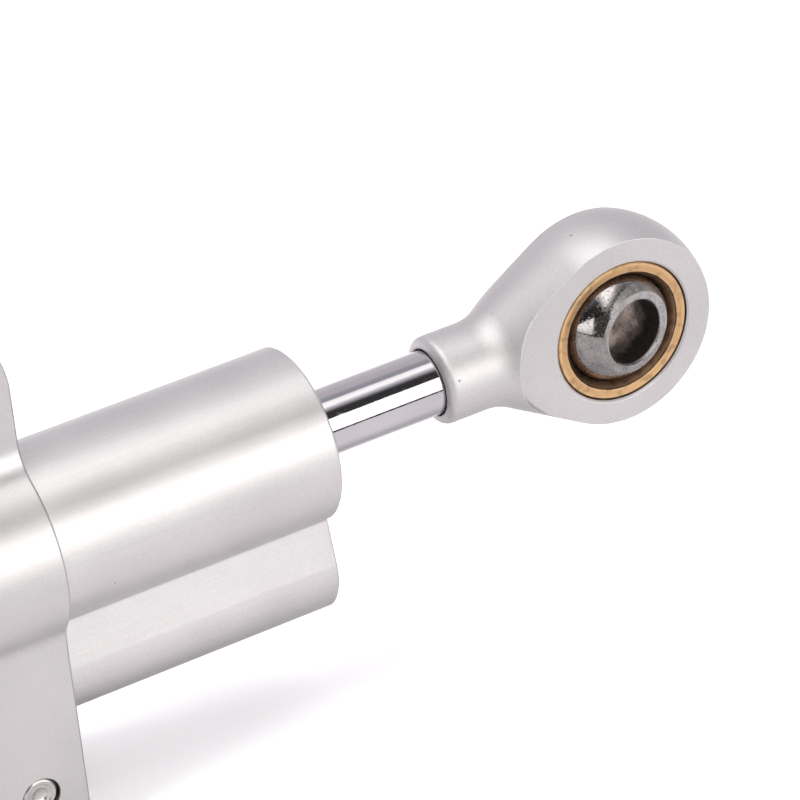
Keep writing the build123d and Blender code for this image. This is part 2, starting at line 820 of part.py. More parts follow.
with BuildPart() as pivot_ball:
    ball(bearing_plane(0, 0), pivot_ball_d, pivot_ball_w, pivot_bore)
pivot_ball.part.label = "pivot_ball"
export_step(pivot_ball.part, "parts/pivot_ball.step")

# Adjuster housing: a turned piece screwed into the small tube's left end. Its flange lies on the
# casing, its neck carries the knob, and a bore with two flats inside keeps the needle from turning
flange_x = left_end - flange_t
neck_x = flange_x - neck_len
bonnet_in_x = left_end + bonnet_len
collar_x = left_end + collar_inset
bonnet_r = bonnet_d / 2 - slip
bonnet_floor_r = bonnet_r - cord_small - slip
bonnet_ring_x = bonnet_in_x - bonnet_ring_inset

with BuildPart() as bonnet:
    turned(
        along_lobe,
        lobe_axis,
        [
            (neck_x, stem_d / 2 + run),
            (neck_x, neck_d / 2),
            (flange_x, neck_d / 2),
            (flange_x, flange_d / 2 - edge_break),
            (flange_x + edge_break, flange_d / 2),
            (left_end, flange_d / 2),
            (left_end, bonnet_r),
            (bonnet_in_x, bonnet_r),
            (bonnet_in_x, stem_d / 2 + run),
        ],
    )
    with BuildSketch(across(collar_x, lobe_z)):
        Circle(needle_d / 2 + run)
        Rectangle(2 * needle_d, needle_flats + 2 * run, mode=Mode.INTERSECT)
    extrude(amount=bonnet_in_x - collar_x, mode=Mode.SUBTRACT)
    groove(along_lobe, lobe_axis, bonnet_ring_x, cord_room * cord_small, bonnet_floor_r, bonnet_d)
bonnet.part.label = "bonnet"
export_step(bonnet.part, "parts/bonnet.step")

with BuildPart() as bonnet_seal_ring:
    cord_ring(along_lobe, lobe_axis, bonnet_ring_x, bonnet_floor_r, cord_small - slip)
bonnet_seal_ring.part.label = "bonnet_seal_ring"
export_step(bonnet_seal_ring.part, "parts/bonnet_seal_ring.step")

# Adjuster stem: turns with the knob, held lengthwise by its collar, and screwed into the needle
stem_tip_x = collar_x + run + collar_len
thread_tip_x = stem_tip_x + stem_thread_len
knob_in_x = flange_x - knob_gap
knob_out_x = knob_in_x - knob_len
stem_out_x = knob_out_x + stem_inset
stem_seal_x = (left_end + neck_x) / 2

with BuildPart() as adjuster_stem:
    turned(
        along_lobe,
        lobe_axis,
        [
            (stem_out_x, 0),
            (stem_out_x, stem_d / 2),
            (collar_x + run, stem_d / 2),
            (collar_x + run, collar_d / 2),
            (stem_tip_x, collar_d / 2),
            (stem_tip_x, stem_thread_d / 2),
            (thread_tip_x, stem_thread_d / 2),
            (thread_tip_x, 0),
        ],
    )
    groove(
        along_lobe,
        lobe_axis,
        stem_seal_x,
        cord_room * cord_stem,
        stem_d / 2 - cord_stem + run,
        stem_d,
    )
    with BuildSketch(across(stem_out_x, lobe_z)):
        Circle(knob_screw_d / 2)
    extrude(amount=knob_len / 2, mode=Mode.SUBTRACT)
adjuster_stem.part.label = "adjuster_stem"
export_step(adjuster_stem.part, "parts/adjuster_stem.step")

with BuildPart() as stem_seal_ring:
    cord_ring(
        along_lobe, lobe_axis, stem_seal_x, stem_d / 2 - cord_stem + run, cord_stem - 2 * slip
    )
stem_seal_ring.part.label = "stem_seal_ring"
export_step(stem_seal_ring.part, "parts/stem_seal_ring.step")

# Needle: its flatted guide slides in the housing, its tapered nose sets the gap in the seat
needle_x = stem_tip_x + needle_gap
needle_nose_x = needle_x + needle_guide_len
taper_x = needle_nose_x + needle_nose_len
needle_tip_x = taper_x + needle_taper_len

with BuildPart() as needle:
    with BuildSketch(across(needle_x, lobe_z)):
        Circle(needle_d / 2)
        Rectangle(2 * needle_d, needle_flats, mode=Mode.INTERSECT)
    extrude(amount=needle_guide_len)
    turned(
        along_lobe,
        lobe_axis,
        [
            (needle_nose_x - needle_gap, 0),
            (needle_nose_x - needle_gap, needle_nose_d / 2),
            (taper_x, needle_nose_d / 2),
            (needle_tip_x, needle_tip_d / 2),
            (needle_tip_x, 0),
        ],
    )
    with BuildSketch(across(needle_x, lobe_z)):
        Circle(stem_thread_d / 2 + run)
    extrude(amount=thread_tip_x - needle_x + needle_gap, mode=Mode.SUBTRACT)
needle.part.label = "needle"
export_step(needle.part, "parts/needle.step")

# Needle's seat: a brass bush with the orifice, against the shoulder where the passage narrows
with BuildPart() as needle_seat:
    with BuildSketch(across(seat_x, lobe_z)):
        Circle(lobe_bore / 2 - slip)
        Circle(orifice_d / 2, mode=Mode.SUBTRACT)
    extrude(amount=seat_len)
needle_seat.part.label = "needle_seat"
export_step(needle_seat.part, "parts/needle_seat.step")

# Adjuster knob: fluted round its rim, hollowed for the housing's neck, drilled for the detent
with BuildPart() as adjuster_knob:
    with BuildSketch(across(knob_out_x, lobe_z)):
        Circle(knob_d / 2)
    extrude(amount=knob_len)
    chamfer(adjuster_knob.edges().filter_by(GeomType.CIRCLE), 2 * edge_break)
    with BuildSketch(across(knob_out_x, lobe_z)):
        with PolarLocations(knob_d / 2 + flute_d / 2 - flute_depth, knob_flutes):
            Circle(flute_d / 2)
    extrude(amount=knob_len, mode=Mode.SUBTRACT)
    with BuildSketch(across(knob_in_x, lobe_z)):
        Circle(neck_d / 2 + knob_neck_play)
    extrude(amount=neck_x - knob_in_x - knob_neck_end_play, mode=Mode.SUBTRACT)
    with BuildSketch(across(knob_in_x, lobe_z)):
        Circle(stem_d / 2 + slip)
    extrude(amount=stem_out_x - knob_in_x, mode=Mode.SUBTRACT)
    with BuildSketch(across(knob_out_x, lobe_z)):
        Circle(knob_screw_d / 2 + 2 * slip)
    extrude(amount=knob_len / 2, mode=Mode.SUBTRACT)
    with BuildSketch(across(knob_out_x, lobe_z)):
        Circle(knob_screw_head / 2 + knob_recess_play)
    extrude(amount=knob_recess, mode=Mode.SUBTRACT)
    with BuildSketch(across(knob_in_x, lobe_z)):
        with Locations((0, detent_r)):
            Circle(detent_ball_d / 2 + run)
    extrude(amount=-detent_hole_depth, mode=Mode.SUBTRACT)
adjuster_knob.part.label = "adjuster_knob"
export_step(adjuster_knob.part, "parts/adjuster_knob.step")

# Screw that holds the knob on its stem
with BuildPart() as knob_screw:
    with BuildSketch(across(knob_out_x + knob_recess, lobe_z)):
        Circle(knob_screw_head / 2)
    extrude(amount=-knob_screw_head_t)
    with BuildSketch(across(knob_out_x + knob_recess, lobe_z)):
        Circle(knob_screw_d / 2 - slip)
    extrude(amount=knob_screw_len)
    with BuildSketch(across(knob_out_x + knob_recess - knob_screw_head_t, lobe_z)):
        RegularPolygon(knob_screw_hex / 2, 6, major_radius=False)
    extrude(amount=knob_screw_hex_depth, mode=Mode.SUBTRACT)
knob_screw.part.label = "knob_screw"
export_step(knob_screw.part, "parts/knob_screw.step")

# Detent: a ball and its spring in the knob, pressing on the housing's flange
detent_ball_x = flange_x - slip - detent_ball_d / 2
with BuildPart() as detent_ball:
    with Locations((detent_ball_x, 0, lobe_z + detent_r)):
        Sphere(detent_ball_d / 2)
detent_ball.part.label = "detent_ball"
export_step(detent_ball.part, "parts/detent_ball.step")


def coil_spring(start, length, outer_d, wire, turns):
    """Compression spring along +X from start, a square wire swept round a helix."""
    coil_r = (outer_d - wire) / 2
    coil_len = length - wire
    with BuildLine() as coil:
        Helix(
            pitch=coil_len / turns,
            height=coil_len,
            radius=coil_r,
            center=start + Vector(wire / 2, 0, 0),
            direction=(1, 0, 0),
        )
    with BuildSketch(Plane(origin=coil.line @ 0, z_dir=coil.line % 0)) as section:
        RegularPolygon(wire / 2, 4)
    sweep(section.sketch, path=coil.line, is_frenet=True)


detent_spring_x = knob_in_x - detent_hole_depth
with BuildPart() as detent_spring:
    coil_spring(
        Vector(detent_spring_x, 0, lobe_z + detent_r),
        detent_ball_x - detent_ball_d / 2 - detent_spring_x,
        detent_ball_d - run,
        detent_wire,
        detent_turns,
    )
detent_spring.part.label = "detent_spring"
export_step(detent_spring.part, "parts/detent_spring.step")

# Reservoir piston: a light cup that the spring holds against the oil
comp_x = reservoir_x + comp_lift
comp_out_x = comp_x + comp_len
comp_r = lobe_bore / 2 - lip_gap
comp_floor_r = comp_r - cord_small - slip
comp_ring_x = comp_x + comp_ring_inset
comp_pocket_r = comp_r - comp_wall

with BuildPart() as reservoir_piston:
    with BuildSketch(across(comp_x, lobe_z)):
        Circle(comp_r)
    extrude(amount=comp_len)
    with BuildSketch(across(comp_out_x, lobe_z)):
        Circle(comp_pocket_r)
    extrude(amount=-comp_pocket, mode=Mode.SUBTRACT)
    groove(along_lobe, lobe_axis, comp_ring_x, cord_room * cord_small, comp_floor_r, lobe_bore / 2)
reservoir_piston.part.label = "reservoir_piston"
export_step(reservoir_piston.part, "parts/reservoir_piston.step")

with BuildPart() as reservoir_seal_ring:
    cord_ring(along_lobe, lobe_axis, comp_ring_x, comp_floor_r, cord_small - slip)
reservoir_seal_ring.part.label = "reservoir_seal_ring"
export_step(reservoir_seal_ring.part, "parts/reservoir_seal_ring.step")

# Reservoir plug with its seal ring and circlip, and a tapped hole to draw it out by
plug_out_x = right_end - plug_recess
plug_in_x = plug_out_x - plug_len
plug_r = lobe_bore / 2 - slip
plug_floor_r = plug_r - cord_small - slip
plug_ring_x = plug_in_x + plug_len / 2

with BuildPart() as reservoir_plug:
    with BuildSketch(across(plug_in_x, lobe_z)):
        Circle(plug_r)
    extrude(amount=plug_len)
    groove(along_lobe, lobe_axis, plug_ring_x, cord_room * cord_small, plug_floor_r, lobe_bore / 2)
    with BuildSketch(across(plug_out_x, lobe_z)):
        Circle(plug_hole_d / 2)
    extrude(amount=plug_floor - plug_len, mode=Mode.SUBTRACT)
reservoir_plug.part.label = "reservoir_plug"
export_step(reservoir_plug.part, "parts/reservoir_plug.step")

with BuildPart() as plug_seal_ring:
    cord_ring(along_lobe, lobe_axis, plug_ring_x, plug_floor_r, cord_small - slip)
plug_seal_ring.part.label = "plug_seal_ring"
export_step(plug_seal_ring.part, "parts/plug_seal_ring.step")

with BuildPart() as plug_circlip:
    inner_circlip(across(plug_out_x, lobe_z), lobe_bore / 2 + clip_bite - slip, plug_clip_band, plug_clip_t)
plug_circlip.part.label = "plug_circlip"
export_step(plug_circlip.part, "parts/plug_circlip.step")

# Reservoir spring, between the cup's floor and the plug
spring_in_x = comp_out_x - comp_pocket
with BuildPart() as reservoir_spring:
    coil_spring(
        Vector(spring_in_x, 0, lobe_z),
        plug_in_x - spring_in_x,
        2 * (comp_pocket_r - spring_play),
        spring_wire,
        spring_turns,
    )
reservoir_spring.part.label = "reservoir_spring"
export_step(reservoir_spring.part, "parts/reservoir_spring.step")

# Set screws that close the cross drillings under the small tube
with BuildPart() as port_plugs:
    for side in (-1, 1):
        plug_face = Plane(
            origin=(side * port_x, 0, lobe_z - lobe_d / 2 + port_plug_recess), z_dir=(0, 0, 1)
        )
        with BuildSketch(plug_face):
            Circle(port_plug_d / 2 - slip)
        extrude(amount=port_plug_len)
        with BuildSketch(plug_face):
            RegularPolygon(port_plug_d / 4, 6, major_radius=False)
        extrude(amount=port_plug_len / 2, mode=Mode.SUBTRACT)
port_plugs.part.label = "port_plugs"
export_step(port_plugs.part, "parts/port_plugs.step")
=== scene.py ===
from math import cos, pi, radians, sin

import bmesh
import bpy
from mathutils import Matrix, Vector


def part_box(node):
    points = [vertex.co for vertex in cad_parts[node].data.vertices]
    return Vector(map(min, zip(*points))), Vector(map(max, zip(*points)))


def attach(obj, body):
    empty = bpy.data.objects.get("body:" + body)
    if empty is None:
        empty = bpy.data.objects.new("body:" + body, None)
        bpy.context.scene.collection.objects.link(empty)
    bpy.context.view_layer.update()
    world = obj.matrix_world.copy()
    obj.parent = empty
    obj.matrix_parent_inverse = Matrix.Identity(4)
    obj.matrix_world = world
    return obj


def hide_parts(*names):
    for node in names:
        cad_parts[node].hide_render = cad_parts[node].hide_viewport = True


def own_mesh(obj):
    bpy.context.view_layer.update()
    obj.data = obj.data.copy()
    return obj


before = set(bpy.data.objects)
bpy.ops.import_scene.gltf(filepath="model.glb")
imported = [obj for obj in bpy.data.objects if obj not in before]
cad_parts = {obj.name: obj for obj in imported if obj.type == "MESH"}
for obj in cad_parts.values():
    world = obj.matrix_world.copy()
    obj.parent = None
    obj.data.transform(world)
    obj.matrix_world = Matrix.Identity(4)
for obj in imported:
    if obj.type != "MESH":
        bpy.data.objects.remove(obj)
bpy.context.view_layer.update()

# Camera: a long lens in front of the damper, above its left end, looking along the rod towards
# the ball eye, as in the photograph.
camera = bpy.data.objects.new("camera", bpy.data.cameras.new("camera"))
camera.data.lens = 221.21
camera.data.sensor_width = 36
camera.data.clip_end = 20
camera.location = (-0.20263, -0.53802, 0.35079)
camera.rotation_euler = (radians(57.944), radians(4.668), radians(-30.448))
bpy.context.collection.objects.link(camera)
bpy.context.scene.camera = camera
bpy.context.scene.view_settings.view_transform = "Standard"

# Studio: a white sweep under the part, a large soft lamp overhead, a weak one in front and a small
# one at the left. What shiny metal mirrors is the room: a soft box overhead and two in front, the
# dark gaps between them, pale walls, and the sweep with the dark line of its front edge.
foot_z = -0.0703
sweep_front_y = -0.28
sweep_reach = 4
sweep_z = foot_z - 0.0003
lamp_aim = Vector((0.05, 0, -0.03))
rod_view_x = 0.358  # how far towards +X the camera looks, and so all that the rod mirrors


def new_material(name):
    made = bpy.data.materials.new(name)
    made.use_nodes = True
    made.node_tree.nodes.clear()
    return made, made.node_tree


def node(tree, kind, **settings):
    """Adds a node; a name with a capital is one of its inputs, any other a setting."""
    made = tree.nodes.new(kind)
    for key, value in settings.items():
        if key[0].isupper():
            made.inputs[key.replace("_", " ")].default_value = value
        else:
            setattr(made, key, value)
    return made


def math_node(tree, operation, *values):
    made = node(tree, "ShaderNodeMath", operation=operation)
    for place, value in enumerate(values):
        if isinstance(value, (int, float)):
            made.inputs[place].default_value = value
        else:
            tree.links.new(value, made.inputs[place])
    return made.outputs[0]


def ramp(tree, factor, stops):
    made = node(tree, "ShaderNodeValToRGB")
    for place, (at, value) in enumerate(stops):
        elements = made.color_ramp.elements
        stop = elements[place] if place < 2 else elements.new(at)
        stop.position = at
        stop.color = (value, value, value, 1) if isinstance(value, (int, float)) else (*value, 1)
    tree.links.new(factor, made.inputs[0])
    return made.outputs["Color"]


def mixed(tree, factor, first, second, blend="MIX"):
    """Colour between two, each a colour or another node's output."""
    made = node(tree, "ShaderNodeMix", data_type="RGBA", blend_type=blend)
    colours = [socket for socket in made.inputs if socket.type == "RGBA"]
    for socket, value in zip(colours, (first, second)):
        if isinstance(value, tuple):
            socket.default_value = (*value, 1)
        else:
            tree.links.new(value, socket)
    if isinstance(factor, float):
        made.inputs[0].default_value = factor
    else:
        tree.links.new(factor, made.inputs[0])
    return made.outputs["Result"]


def turn_share(degrees):
    """Place on the room's ramp of a direction so many degrees up from the rear horizon."""
    return ((degrees + 90) % 360) / 360


def side_share(degrees):
    """Place on the soft boxes' ramp of a direction so many degrees right of straight ahead."""
    return 0.5 + degrees / 360


room = bpy.data.worlds.new("room")
bpy.context.scene.world = room
room.use_nodes = True
room.cycles.sampling_method = "NONE"
tree = room.node_tree
tree.nodes.clear()
direction = node(tree, "ShaderNodeSeparateXYZ")
tree.links.new(node(tree, "ShaderNodeTexCoord").outputs["Generated"], direction.inputs[0])
over = math_node(tree, "ARCTAN2", direction.outputs["Z"], direction.outputs["Y"])
over = math_node(tree, "FRACT", math_node(tree, "MULTIPLY_ADD", over, 1 / (2 * pi), 0.25))
front = math_node(tree, "MULTIPLY", direction.outputs["Y"], -1.0)
sideways = math_node(tree, "ARCTAN2", direction.outputs["X"], front)
sideways = math_node(tree, "MULTIPLY_ADD", sideways, 1 / (2 * pi), 0.5)
across = math_node(tree, "MULTIPLY_ADD", direction.outputs["X"], 0.5, 0.5)
walls = ramp(
    tree,
    over,
    [
        (turn_share(-90), (0.80, 0.76, 0.81)),
        (turn_share(-30), (0.90, 0.88, 0.91)),
        (turn_share(-8), (1.00, 0.98, 1.00)),
        (turn_share(2), (0.98, 0.96, 0.99)),
        (turn_share(12), (0.84, 0.80, 0.85)),
        (turn_share(58), (0.74, 0.69, 0.73)),
        (turn_share(66), (0.52, 0.51, 0.55)),
        (turn_share(77), (0.45, 0.46, 0.53)),
        (turn_share(104), (0.45, 0.46, 0.50)),
        (turn_share(115), (0.20, 0.20, 0.23)),
        (turn_share(121), (0.055, 0.052, 0.055)),
        (turn_share(142), (0.065, 0.060, 0.060)),
        (turn_share(145), (0.15, 0.14, 0.14)),
        (turn_share(195), (0.15, 0.14, 0.14)),
        (turn_share(269), (0.60, 0.57, 0.60)),
    ],
)

# the overhead box is askew: its front edge comes lower and its rear edge goes further back as one
# looks further left
front_slope = 47  # degrees per unit of X
rear_slope = 58
lid_front_stops = [(turn_share(100), 1.0), (turn_share(106), 0.35), (turn_share(117), 0.0)]
lid_rear_stops = [(turn_share(77), 0.0), (turn_share(82), 0.75), (turn_share(87), 1.0)]
askew = math_node(tree, "SUBTRACT", rod_view_x, direction.outputs["X"])
lid_front = math_node(tree, "MULTIPLY_ADD", askew, -front_slope / 360, over)
lid_front = ramp(tree, lid_front, lid_front_stops)
lid_rear = math_node(tree, "MULTIPLY_ADD", askew, rear_slope / 360, over)
lid_rear = ramp(tree, lid_rear, lid_rear_stops)
lid_ends = ramp(tree, across, [(0.30, 0.0), (0.44, 1.0), (0.75, 1.0), (0.79, 0.0)])
lid = math_node(tree, "MULTIPLY", math_node(tree, "MINIMUM", lid_front, lid_rear), lid_ends)
lid_light = ramp(tree, across, [(0.60, (1.0, 0.99, 0.97)), (0.67, (0.52, 0.51, 0.50))])
lid_light = mixed(tree, 1.0, lid_light, (3.4, 3.4, 3.4), "MULTIPLY")
box_height = ramp(
    tree,
    over,
    [
        (turn_share(140.5), 0.0),
        (turn_share(143.0), 1.0),
        (turn_share(166), 1.0),
        (turn_share(185), 0.66),
        (turn_share(187), 0.0),
    ],
)
box_width = ramp(
    tree,
    sideways,
    [
        (side_share(-82), 0.0),
        (side_share(-80), 0.80),
        (side_share(-50), 0.80),
        (side_share(-47), 0.0),
        (side_share(-11), 0.0),
        (side_share(-8), 1.0),
        (side_share(62), 1.0),
        (side_share(66), 0.42),
        (side_share(88), 0.42),
        (side_share(92), 0.0),
    ],
)
lit = mixed(tree, lid, walls, lid_light)
lit = mixed(tree, math_node(tree, "MULTIPLY", box_height, box_width), lit, (3.0, 2.93, 2.88))
light_path = node(tree, "ShaderNodeLightPath")
open_view = math_node(
    tree, "MAXIMUM", light_path.outputs["Is Camera Ray"], light_path.outputs["Is Transmission Ray"]
)
plain = mixed(tree, open_view, (0.70, 0.685, 0.70), (1.0, 1.0, 1.0))
background = node(tree, "ShaderNodeBackground")
tree.links.new(
    mixed(tree, light_path.outputs["Is Glossy Ray"], plain, lit), background.inputs["Color"]
)
tree.links.new(background.outputs[0], node(tree, "ShaderNodeOutputWorld").inputs["Surface"])


def flat_sheet(name, low, high, z):
    """Rectangle of paper or card that lies level."""
    mesh = bpy.data.meshes.new(name)
    corners = [(low[0], low[1], z), (high[0], low[1], z), (high[0], high[1], z), (low[0], high[1], z)]
    mesh.from_pydata(corners, [], [(0, 1, 2, 3)])
    made = bpy.data.objects.new(name, mesh)
    bpy.context.collection.objects.link(made)
    return made


sweep_paper, tree = new_material("sweep_paper")
light_path = node(tree, "ShaderNodeLightPath")
shaded = node(tree, "ShaderNodeBsdfDiffuse")
tree.links.new(
    mixed(tree, light_path.outputs["Is Camera Ray"], (0.612, 0.592, 0.607), (0.815, 0.803, 0.817)),
    shaded.inputs["Color"],
)
# the paper glows faintly to the camera, and towards the rear to what mirrors it
lift = node(tree, "ShaderNodeEmission", Color=(1, 0.99, 1, 1))
spot = node(tree, "ShaderNodeSeparateXYZ")
tree.links.new(node(tree, "ShaderNodeNewGeometry").outputs["Position"], spot.inputs[0])
behind = node(tree, "ShaderNodeMapRange", From_Min=0.05, From_Max=0.12, To_Min=0.0, To_Max=0.42)
tree.links.new(spot.outputs["Y"], behind.inputs["Value"])
behind = math_node(tree, "MULTIPLY", behind.outputs[0], light_path.outputs["Is Glossy Ray"])
strength = math_node(tree, "MULTIPLY_ADD", light_path.outputs["Is Camera Ray"], 0.22, behind)
tree.links.new(strength, lift.inputs["Strength"])
both = node(tree, "ShaderNodeAddShader")
tree.links.new(shaded.outputs[0], both.inputs[0])
tree.links.new(lift.outputs[0], both.inputs[1])
tree.links.new(both.outputs[0], node(tree, "ShaderNodeOutputMaterial").inputs["Surface"])
black_card, tree = new_material("black_card")
card = node(tree, "ShaderNodeBsdfDiffuse", Color=(0.02, 0.02, 0.02, 1))
tree.links.new(card.outputs[0], node(tree, "ShaderNodeOutputMaterial").inputs["Surface"])
sweep = flat_sheet("sweep", (-sweep_reach, sweep_front_y), (sweep_reach, sweep_reach), sweep_z)
sweep.data.materials.append(sweep_paper)
apron = flat_sheet("sweep_apron", (-sweep_reach, -sweep_reach), (sweep_reach, sweep_front_y), sweep_z)
apron.data.materials.append(sweep_paper)
apron.visible_glossy = False
edge_low = (-sweep_reach, sweep_front_y - 0.30)
edge_strip = flat_sheet("sweep_edge", edge_low, (sweep_reach, sweep_front_y), foot_z - 0.0004)
edge_strip.data.materials.append(black_card)
edge_strip.visible_camera = False
edge_strip.visible_diffuse = False
edge_strip.visible_shadow = False

for name, place, size, watts in (
    ("overhead_box", (0.03, -0.03, 1.05), (1.7, 0.7), 8.8),
    ("front_box", (0.35, -1.00, 0.50), (0.9, 0.9), 3.0),
    ("left_box", (-0.60, 0.00, 0.60), (0.4, 0.4), 7.5),
):
    lamp = bpy.data.objects.new(name, bpy.data.lights.new(name, "AREA"))
    lamp.data.shape = "RECTANGLE"
    lamp.data.size, lamp.data.size_y = size
    lamp.data.energy = watts
    lamp.location = place
    lamp.rotation_euler = (lamp_aim - lamp.location).to_track_quat("-Z", "Y").to_euler()
    lamp.visible_glossy = False
    lamp.visible_camera = False
    bpy.context.collection.objects.link(lamp)

# Casing: one length of aluminium extrusion, a wide tube over a narrow one, cut to length, blasted
# with fine beads and anodised clear. The die's draw lines still show faintly along it.
mm = 0.001
axis_z = -26.3 * mm
lobe_z = -46.5 * mm


def surfaced(tree, body, rough, relief, strength, depth, under=None, metallic=1.0):
    """A material's last nodes: one shader with its colour, its roughness and a fine relief."""
    shell = node(tree, "ShaderNodeBsdfPrincipled", Metallic=metallic)
    tree.links.new(body, shell.inputs["Base Color"])
    tree.links.new(rough, shell.inputs["Roughness"])
    bump = node(tree, "ShaderNodeBump", Strength=strength, Distance=depth)
    tree.links.new(relief, bump.inputs["Height"])
    if under is not None:
        tree.links.new(under, bump.inputs["Normal"])
    tree.links.new(bump.outputs[0], shell.inputs["Normal"])
    tree.links.new(shell.outputs[0], node(tree, "ShaderNodeOutputMaterial").inputs["Surface"])


def blasted_aluminium(name, colour, roughness, grain=0.3, drawn=0.0, edge=0.25 * mm, dark=0.0):
    """Anodised aluminium: blasted grain, faint clouding, a few pits, bright edges that are partly wear
    and partly a painted highlight, and painted shade in its creases.
    """
    made, tree = new_material(name)
    place = node(tree, "ShaderNodeTexCoord").outputs["Object"]
    clouds = node(tree, "ShaderNodeTexNoise", Scale=75.0, Detail=4.0)
    fine = node(tree, "ShaderNodeTexNoise", Scale=3600.0, Detail=2.0)
    pits = node(tree, "ShaderNodeTexVoronoi", Scale=330.0)
    stretch = node(tree, "ShaderNodeMapping", Scale=(0.012, 1.0, 1.0))
    lines = node(tree, "ShaderNodeTexNoise", Scale=2400.0, Detail=3.0)
    tree.links.new(place, stretch.inputs["Vector"])
    tree.links.new(stretch.outputs[0], lines.inputs["Vector"])
    for texture in (clouds, fine, pits):
        tree.links.new(place, texture.inputs["Vector"])
    chosen = ramp(tree, pits.outputs["Color"], [(0.86, 0.0), (0.88, 1.0)])
    pit = ramp(tree, pits.outputs["Distance"], [(0.05, 1.0), (0.08, 0.0)])
    pit = math_node(tree, "MULTIPLY", pit, chosen)
    rounded = node(tree, "ShaderNodeBevel", samples=6, Radius=edge)
    square = node(tree, "ShaderNodeVectorMath", operation="DOT_PRODUCT")
    tree.links.new(rounded.outputs[0], square.inputs[0])
    tree.links.new(node(tree, "ShaderNodeNewGeometry").outputs["Normal"], square.inputs[1])
    # bright edges: partly wear to bare metal, partly a painted highlight along every edge
    worn = ramp(tree, square.outputs["Value"], [(0.80, 1.0), (0.97, 0.0)])
    patchy = math_node(tree, "MULTIPLY_ADD", clouds.outputs["Fac"], 0.9, 0.15)
    worn = math_node(tree, "MULTIPLY", worn, patchy)
    dull = tuple(0.94 * part for part in colour)
    body = mixed(tree, ramp(tree, clouds.outputs["Fac"], [(0.35, 0.0), (0.65, 1.0)]), dull, colour)
    speckle = ramp(tree, fine.outputs["Fac"], [(0.30, 1.0 - 0.3 * grain), (0.70, 1.0)])
    body = mixed(tree, 1.0, body, speckle, "MULTIPLY")
    streak = ramp(tree, lines.outputs["Fac"], [(0.35, 1.0 - 0.10 * drawn), (0.65, 1.0)])
    body = mixed(tree, 1.0, body, streak, "MULTIPLY")
    body = mixed(tree, math_node(tree, "MULTIPLY", pit, 0.75), body, (0.16, 0.14, 0.14))
    # the edges are lightened: partly wear, partly painted highlight
    body = mixed(tree, worn, body, (0.93 - dark, 0.91 - dark, 0.91 - dark))
    # painted shade: the colour darkens in creases, corners and the valleys between parts, read from
    # ambient occlusion
    nook = node(tree, "ShaderNodeAmbientOcclusion", samples=8, Distance=0.9 * mm)
    painted_crease_shade = ramp(tree, nook.outputs["AO"], [(0.60, 0.50), (0.84, 1.0)])
    body = mixed(tree, 1.0, body, painted_crease_shade, "MULTIPLY")
    rough = math_node(tree, "MULTIPLY_ADD", clouds.outputs["Fac"], 0.06, roughness - 0.05)
    rough = math_node(tree, "MULTIPLY_ADD", fine.outputs["Fac"], 0.05, rough)
    relief = math_node(tree, "MULTIPLY_ADD", lines.outputs["Fac"], 2.0 * drawn, fine.outputs["Fac"])
    relief = math_node(tree, "MULTIPLY_ADD", pit, -3.0, relief)
    surfaced(tree, body, rough, relief, grain, 0.02 * mm, under=rounded.outputs[0])
    return made


def dress(material, *names):
    """Gives CAD nodes their finish."""
    for name in names:
        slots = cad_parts[name].data.materials
        if not len(slots):
            slots.append(material)
        for place in range(len(slots)):
            slots[place] = material


dress(
    blasted_aluminium("casing_anodised", (0.655, 0.642, 0.643), 0.44, grain=0.30, drawn=0.35),
    "damper_body",
)

# Glands: turned aluminium heads in the tube's ends, each with a lined guide bush, a rubber seal
# and a wiper on the rod, and a sprung ring that snaps into the tube and holds them in.


def off_axis(tree, centre, along, turn=0.0):
    """Distance from a piece's own axis, and the place along it, on Object coordinates."""
    moved = node(tree, "ShaderNodeVectorMath", operation="SUBTRACT")
    moved.inputs[1].default_value = centre
    tree.links.new(node(tree, "ShaderNodeTexCoord").outputs["Object"], moved.inputs[0])
    turned = node(tree, "ShaderNodeMapping", Rotation=(0, 0, turn))
    tree.links.new(moved.outputs[0], turned.inputs["Vector"])
    parts = node(tree, "ShaderNodeSeparateXYZ")
    tree.links.new(turned.outputs[0], parts.inputs[0])
    across = [axis for axis in "XYZ" if axis != along]
    squares = [math_node(tree, "POWER", parts.outputs[axis], 2.0) for axis in across]
    distance = math_node(tree, "SQRT", math_node(tree, "ADD", *squares))
    return distance, parts.outputs[along]


def turned_metal(name, colour, roughness, centre, along="X", tarnish=0.25):
    """Metal off the lathe: rings on its faces and round its barrel, with faint tarnish."""
    made, tree = new_material(name)
    distance, station = off_axis(tree, centre, along)
    pitch = math_node(tree, "MULTIPLY_ADD", station, 0.83, distance)
    rings = node(tree, "ShaderNodeTexNoise", noise_dimensions="1D", Scale=9000.0, Detail=3.0)
    tree.links.new(pitch, rings.inputs["W"])
    cloud = node(tree, "ShaderNodeTexNoise", Scale=240.0, Detail=4.0)
    tree.links.new(node(tree, "ShaderNodeTexCoord").outputs["Object"], cloud.inputs["Vector"])
    stained = ramp(tree, cloud.outputs["Fac"], [(0.45, 0.0), (0.75, tarnish)])
    body = mixed(tree, stained, colour, tuple(0.45 * part for part in colour))
    tooled = ramp(tree, rings.outputs["Fac"], [(0.3, 0.86), (0.7, 1.0)])
    body = mixed(tree, 1.0, body, tooled, "MULTIPLY")
    rough = math_node(tree, "MULTIPLY_ADD", cloud.outputs["Fac"], 0.12, roughness)
    surfaced(tree, body, rough, rings.outputs["Fac"], 0.25, 0.01 * mm)
    return made


